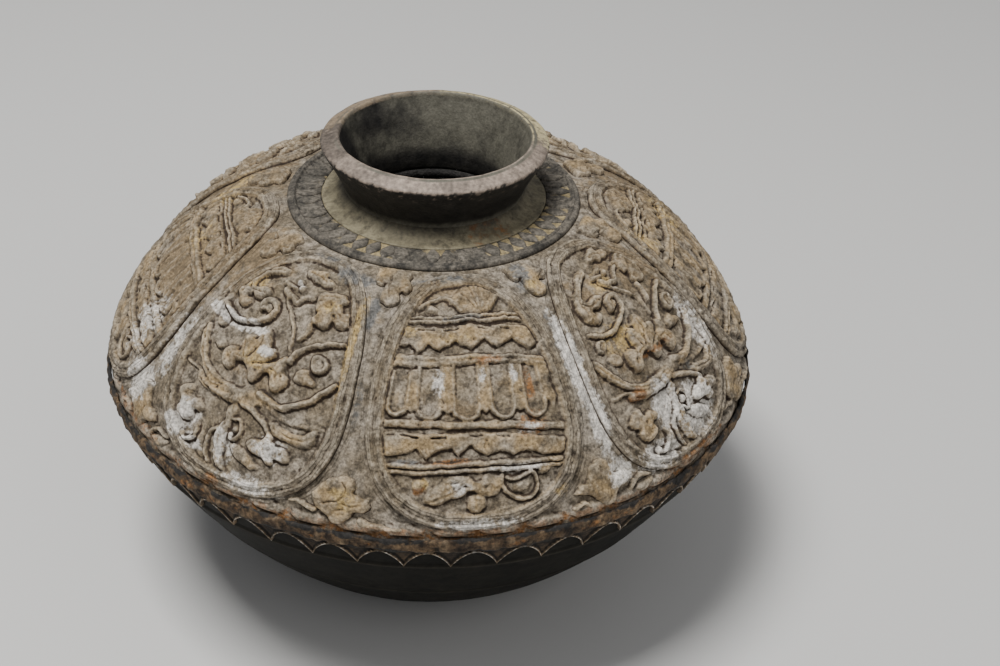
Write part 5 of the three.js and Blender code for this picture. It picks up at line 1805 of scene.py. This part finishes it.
def border_corners(sizes: VaseSizes) -> list[Spot]:
    """Section of the rough strip over the outside of the belly seam."""
    steps = ((0, -2.6), (1.0, -2.1), (1.4, 0), (1.0, 2.1), (0, 2.6))
    return stepped_section(sizes.belly_radius + sizes.luting, sizes.belly_height - BORDER_DROP, steps)


@dataclass
class LowerBowl:
    """Burnished lower shell with its two fine ridges."""

    sizes: VaseSizes
    columns: int = 400
    rows: int = 150
    ridge_drops: Spot = (13.2 * MM, 38 * MM)

    def build(self, material: Material) -> None:
        """Builds the bowl and dresses it."""
        sizes = self.sizes
        azimuth = full_turn(self.columns)
        distance = np.linspace(BOWL.length, 0, self.rows)[:, None]
        azimuth, distance = np.broadcast_arrays(azimuth, distance)
        level = np.interp(distance, BOWL.distance, BOWL.height)
        drop = sizes.belly_height - level
        flat = wrapped(azimuth, *BOWL.lifted(distance))
        height = rough(flat, 18 * MM, 2, 3) * 0.1 * MM
        upper, lower = self.ridge_drops
        height = height + 0.8 * MM * beside(drop - upper, 0.7 * MM)
        height = height + 0.3 * MM * beside(drop - lower, 0.6 * MM)
        height = height * ramp(distance, 0, 2 * MM)
        outer = wrapped(azimuth, *BOWL.lifted(distance, height))
        tongue = sizes.belly_radius - sizes.shoulder_wall / 2 - sizes.luting
        tongue_top = sizes.belly_height + sizes.lap_height - sizes.luting
        wall = sizes.belly_radius - sizes.bowl_wall
        section = [(tongue, sizes.belly_height), (tongue, tongue_top)]
        section += [(wall, tongue_top), (wall, sizes.belly_height)]
        inside = np.linspace(BOWL.length * 0.12, BOWL.length, 20)
        radius, inner_level = BOWL.lifted(inside, -sizes.bowl_wall)
        section += [(min(r, wall - 0.4 * MM), z) for r, z in zip(radius, inner_level)]
        section += [(4 * MM, sizes.foot_height + sizes.bowl_wall)]
        start = section_rows([(4 * MM, sizes.foot_height)], azimuth[0])
        inner = section_rows(section, azimuth[0])
        mesh = turned_mesh("lower_bowl", np.concatenate((start, outer, inner)), capped=True)
        line = beside(drop - upper, 0.5 * MM) + 0.5 * beside(drop - lower, 0.5 * MM)
        crest = np.concatenate((np.zeros((1, self.columns)), unit(line)))
        store_marks(mesh, {"crest": crest})
        finish_piece(add_object("lower_bowl_shell", mesh), "lower_bowl", material)


class RoundPattern(NodeSheet):
    """Geometry nodes that set one small shape many times round the axis."""

    inputs = {
        "Shape": "NodeSocketGeometry",
        "Count": "NodeSocketInt",
        "Size change": "NodeSocketFloat",
        "Seed": "NodeSocketInt",
        "Weld distance": "NodeSocketFloat",
        "Clay": "NodeSocketMaterial",
    }

    def __init__(self, name: str) -> None:
        """Args:
            name: Name of the node group.
        """
        super().__init__(bpy.data.node_groups.new(name, "GeometryNodeTree"))
        for label, kind in self.inputs.items():
            self.tree.interface.new_socket(label, in_out="INPUT", socket_type=kind)
        self.tree.interface.new_socket("Pattern", in_out="OUTPUT", socket_type="NodeSocketGeometry")
        self.connect()

    def connect(self) -> None:
        """Adds the nodes and joins them."""
        given = self.add("NodeGroupInput").outputs
        number = self.add("GeometryNodeInputIndex").outputs["Index"]
        step = self.add("ShaderNodeMath", {0: 2 * math.pi, 1: given["Count"]}, operation="DIVIDE")
        turn = self.add("ShaderNodeMath", {0: number, 1: step.outputs[0]}, operation="MULTIPLY")
        angle = self.add("ShaderNodeCombineXYZ", {"Z": turn.outputs[0]})
        least = self.add("ShaderNodeMath", {0: 1.0, 1: given["Size change"]}, operation="SUBTRACT")
        range_and_seed = {2: least.outputs[0], 3: 1.0, "Seed": given["Seed"]}
        change = self.add("FunctionNodeRandomValue", range_and_seed, data_type="FLOAT")
        size = self.add("ShaderNodeCombineXYZ", {"X": 1.0, "Y": 1.0, "Z": change.outputs[1]})
        copies = self.add("GeometryNodeInstanceOnPoints", {
            "Points": self.add("GeometryNodePoints", {"Count": given["Count"]}).outputs["Points"],
            "Instance": given["Shape"],
            "Rotation": angle.outputs[0],
            "Scale": size.outputs[0],
        })
        real = self.add("GeometryNodeRealizeInstances", {"Geometry": copies.outputs["Instances"]})
        welded = {"Geometry": real.outputs["Geometry"], "Distance": given["Weld distance"]}
        weld = self.add("GeometryNodeMergeByDistance", welded)
        painted = {"Geometry": weld.outputs["Geometry"], "Material": given["Clay"]}
        paint = self.add("GeometryNodeSetMaterial", painted)
        self.add("NodeGroupOutput", {"Pattern": paint.outputs["Geometry"]})

    def apply(self, name: str, shape: Mesh, values: dict[str, object]) -> Piece:
        """Sets the shape round the axis as one plain mesh.

        Args:
            name: Name of the new object.
            shape: The small shape, in its place at azimuth 0.
            values: Values of the named inputs.

        Returns:
            The object, without modifiers.
        """
        source = add_object(name, shape)
        modifier = source.modifiers.new("round", "NODES")
        modifier.node_group = self.tree
        for item in self.tree.interface.items_tree:
            if item.in_out == "INPUT" and item.name in values:
                modifier[item.identifier] = values[item.name]
        bpy.context.view_layer.update()
        seen = source.evaluated_get(bpy.context.evaluated_depsgraph_get())
        mesh = bpy.data.meshes.new_from_object(seen)
        source.modifiers.remove(modifier)
        source.data = mesh
        for polygon in mesh.polygons:
            polygon.use_smooth = True
        return source


def scale_shape(sizes: VaseSizes) -> Mesh:
    """One flat lozenge of the neck ring, in its place at azimuth 0."""
    inner = sizes.collar_radius + 0.5 * MM
    outer = sizes.top_radius - 3.0 * MM
    middle, half = (inner + outer) / 2, (outer - inner) / 2
    width = math.pi * middle / sizes.ring_scales
    around = np.linspace(0, 2 * math.pi, 24, endpoint=False)
    across = np.sign(np.sin(around)) * np.abs(np.sin(around)) ** 1.45
    along = np.sign(np.cos(around)) * np.abs(np.cos(around)) ** 1.45
    rows = []
    for reach, height in ((1.0, 0.6), (1.0, 1.5), (0.9, 1.95), (0.72, 2.15), (0.3, 2.25)):
        x = across * width * 0.99 * reach
        y = -middle - along * half * reach
        rows.append(np.stack((x, y, np.full(around.shape, sizes.top_height + height * MM)), axis=-1))
    mesh = turned_mesh("ring_scale", np.array(rows), capped=True)
    count = len(mesh.vertices)
    set_values(mesh, "crest", np.where(np.arange(count) >= 48, 0.25, 0.0))
    set_values(mesh, "hollow", np.zeros(count))
    return mesh


def scallop_shape(sizes: VaseSizes) -> Mesh:
    """One arch of the scallop frieze: a strip of rough clay that ends in a rimmed arch line."""
    columns, rows = 14, 15
    step = FULL_TURN / sizes.scallops
    across = np.linspace(0, 1, columns + 1)[None, :]
    fall = np.linspace(0, 1, rows + 1)[:, None]
    top = 3.2 * MM
    arch = (11.8 - 8.0 * np.sin(np.pi * across) ** 0.75) * MM
    across, fall, arch = np.broadcast_arrays(across, fall, arch)
    drop = top + (arch - top) * fall
    distance = np.interp(-(sizes.belly_height - drop), -BOWL.height, BOWL.distance)
    edge = (arch - drop) / MM
    height = np.interp(edge, (0, 0.25, 0.8, 1.3, 1.9, 12), (-0.2, 1.1, 1.5, 1.2, 0.5, 0.7)) * MM
    azimuth = step * (across - 0.5)
    front = wrapped(azimuth, *BOWL.lifted(distance, height))
    back = wrapped(azimuth, *BOWL.lifted(distance, -0.5 * MM))
    face = np.arange(front[..., 0].size).reshape(front.shape[:2])
    rear = face + face.size
    strips = (
        np.stack((face[0, :-1], face[0, 1:], rear[0, 1:], rear[0, :-1]), axis=-1),
        np.stack((face[-1, 1:], face[-1, :-1], rear[-1, :-1], rear[-1, 1:]), axis=-1),
    )
    faces = [grid_faces(face, False, False), grid_faces(rear, False, False)[:, ::-1], *strips]
    points = np.vstack((front.reshape(-1, 3), back.reshape(-1, 3)))
    mesh = make_mesh("scallop", points, faces)
    crest = beside(edge - 0.8, 0.5)
    # Evenly darker ground, with painted shade just above each arch rim and a painted shadow just under the
    # border.
    grime_and_shade = 0.3 + 0.45 * beside(edge - 1.9, 0.5) + 0.4 * np.exp(-((drop - top) / (1.4 * MM)))
    store_marks(mesh, {"crest": crest, "lime": crest * 0.75, "hollow": grime_and_shade * (edge > 1.2)})
    return mesh


def turned_pair(first: Vector, second: Vector, degrees: float) -> tuple[Vector, Vector]:
    """Two square directions, turned from the first towards the second."""
    share, rest = math.cos(math.radians(degrees)), math.sin(math.radians(degrees))
    return share * first + rest * second, share * second - rest * first


@dataclass
class Studio:
    """Plain pale floor, soft lamps and the camera, in metres and degrees, with its lens in millimetres."""

    floor_half: float = 3.0
    floor_colour: Colour = (0.62, 0.61, 0.585)
    lamp_aim_height: float = 0.08
    sky_colour: Colour = (0.93, 0.95, 1.0)
    sky_strength: float = 0.3
    aim_height: float = 0.079
    camera_distance: float = 0.575
    tilt: float = 33.776
    yaw: float = 2.471
    pitch: float = 0.181
    roll: float = 1.068
    sensor_width: float = 36.0
    lens: float = 57.07
    nearest_seen: float = 0.01

    def build(self) -> None:
        """Builds everything round the vase."""
        self.floor()
        self.lamps()
        self.camera()

    def floor(self) -> None:
        """Wide pale floor."""
        half = self.floor_half
        points = [(-half, -half, 0), (half, -half, 0), (half, half, 0), (-half, half, 0)]
        mesh = bpy.data.meshes.new("floor")
        mesh.from_pydata(points, [], [(0, 1, 2, 3)])
        floor = add_object("floor", mesh)
        sheet = ShaderSheet("floor")
        inputs = {"Base Color": self.floor_colour, "Roughness": 0.95, "Specular IOR Level": 0.1}
        floor.data.materials.append(sheet.shown(sheet.add("ShaderNodeBsdfPrincipled", inputs)))

    def lamp(self, name: str, place: tuple[float, float, float], size: float, power: float) -> None:
        """Square area lamp that looks at the vase."""
        data = bpy.data.lights.new(name, "AREA")
        data.size = size
        data.energy = power
        lamp = add_object(name, data)
        lamp.location = place
        aim = Vector((0, 0, self.lamp_aim_height)) - Vector(place)
        lamp.rotation_euler = aim.to_track_quat("-Z", "Y").to_euler()

    def lamps(self) -> None:
        """Soft key lamp overhead, a fill from the front on the right, and the sky."""
        self.lamp("key", (-0.3, -0.2, 1.38), size=0.5, power=24.0)
        self.lamp("fill", (0.9, -0.9, 0.9), size=1.2, power=4.0)
        world = bpy.data.worlds.new("sky")
        world.use_nodes = True
        background = world.node_tree.nodes["Background"]
        background.inputs["Color"].default_value = (*self.sky_colour, 1)
        background.inputs["Strength"].default_value = self.sky_strength
        bpy.context.scene.world = world

    def camera(self) -> None:
        """Camera at the angle of the view that the vase is built after."""
        right = Vector((1, 0, 0))
        tilt = math.radians(self.tilt)
        ahead = Vector((0, math.cos(tilt), -math.sin(tilt)))
        above = Vector((0, math.sin(tilt), math.cos(tilt)))
        place = Vector((0, 0, self.aim_height)) - ahead * self.camera_distance
        ahead, right = turned_pair(ahead, right, self.yaw)
        ahead, above = turned_pair(ahead, above, self.pitch)
        right, above = turned_pair(right, above, self.roll)
        data = bpy.data.cameras.new("view")
        data.sensor_width = self.sensor_width
        data.lens = self.lens
        data.clip_start = self.nearest_seen
        camera = add_object("view", data)
        columns = Matrix((right, above, -ahead)).transposed().to_4x4()
        camera.matrix_world = Matrix.Translation(place) @ columns
        bpy.context.scene.camera = camera


def build_neck(sizes: VaseSizes) -> None:
    """Builds the neck, its fillet and the ring with its scales."""
    neck = TurnedPiece("neck", "sooty_clay", neck_corners(sizes), columns=480, paint=neck_marks)
    neck.build(clay_material(NECK_CLAY))
    collar = TurnedPiece("neck_collar", "khaki_clay", collar_corners(sizes), 0.5 * MM, rounding=1)
    collar.paint = collar_marks
    collar.build(clay_material(COLLAR_CLAY))
    ring_clay = clay_material(RING_CLAY)
    ring = TurnedPiece("neck_ring", "khaki_clay", ring_corners(sizes), 0.4 * MM, 648, 1, 0.08 * MM)
    ring.paint = ring_marks
    ring.build(ring_clay)
    values = {"Count": sizes.ring_scales, "Size change": 0.004, "Seed": 7, "Clay": ring_clay}
    scales = RoundPattern("scales").apply("neck_ring_scales", scale_shape(sizes), values)
    finish_piece(scales, "neck_ring", ring_clay)


def build_shoulder(sizes: VaseSizes) -> None:
    """Builds the upper shell with its cartouches and sprigs."""
    ShoulderShell(sizes).build(clay_material(GROUND_CLAY))
    relief_clay = clay_material(RELIEF_CLAY)
    for place in range(sizes.panel_count):
        CartouchePanel(place, sizes).build(relief_clay)
        Spandrel(place, sizes).build(relief_clay)


WELD = 0.05 * MM


def build_belly(sizes: VaseSizes) -> None:
    """Builds the belly border, the scallop frieze and the coil inside the seam."""
    clay = clay_material(BORDER_CLAY)
    border = TurnedPiece("belly_border", "rust_clay", border_corners(sizes), 0.45 * MM, 900, 1)
    border.unevenness = 0.5 * MM
    border.bump_size = 2.6 * MM
    border.paint = border_marks
    border.build(clay)
    values = {"Count": sizes.scallops, "Size change": 0.0, "Seed": 3, "Clay": clay, "Weld distance": WELD}
    frieze = RoundPattern("arches").apply("scallop_frieze_arches", scallop_shape(sizes), values)
    finish_piece(frieze, "scallop_frieze", clay)
    coil = TurnedPiece("belly_seam_coil", "khaki_clay", seam_corners(sizes), 1.0 * MM, 240, 1, 0.2 * MM)
    coil.build(clay)


def build_bowl(sizes: VaseSizes) -> None:
    """Builds the lower bowl and its foot ring."""
    clay = clay_material(BOWL_CLAY)
    LowerBowl(sizes).build(clay)
    TurnedPiece("foot_ring", "smoked_clay", foot_corners(sizes), 0.8 * MM, 240, 1, 0.04 * MM).build(clay)


def build_vase(sizes: VaseSizes) -> None:
    """Builds every piece of the vase."""
    build_neck(sizes)
    build_shoulder(sizes)
    build_belly(sizes)
    build_bowl(sizes)


def main() -> None:
    """Builds the vase in its studio."""
    logging.basicConfig(level=logging.INFO, format="%(message)s")
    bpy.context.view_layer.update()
    build_vase(SIZES)
    Studio().build()


if __name__ == "__main__":
    main()
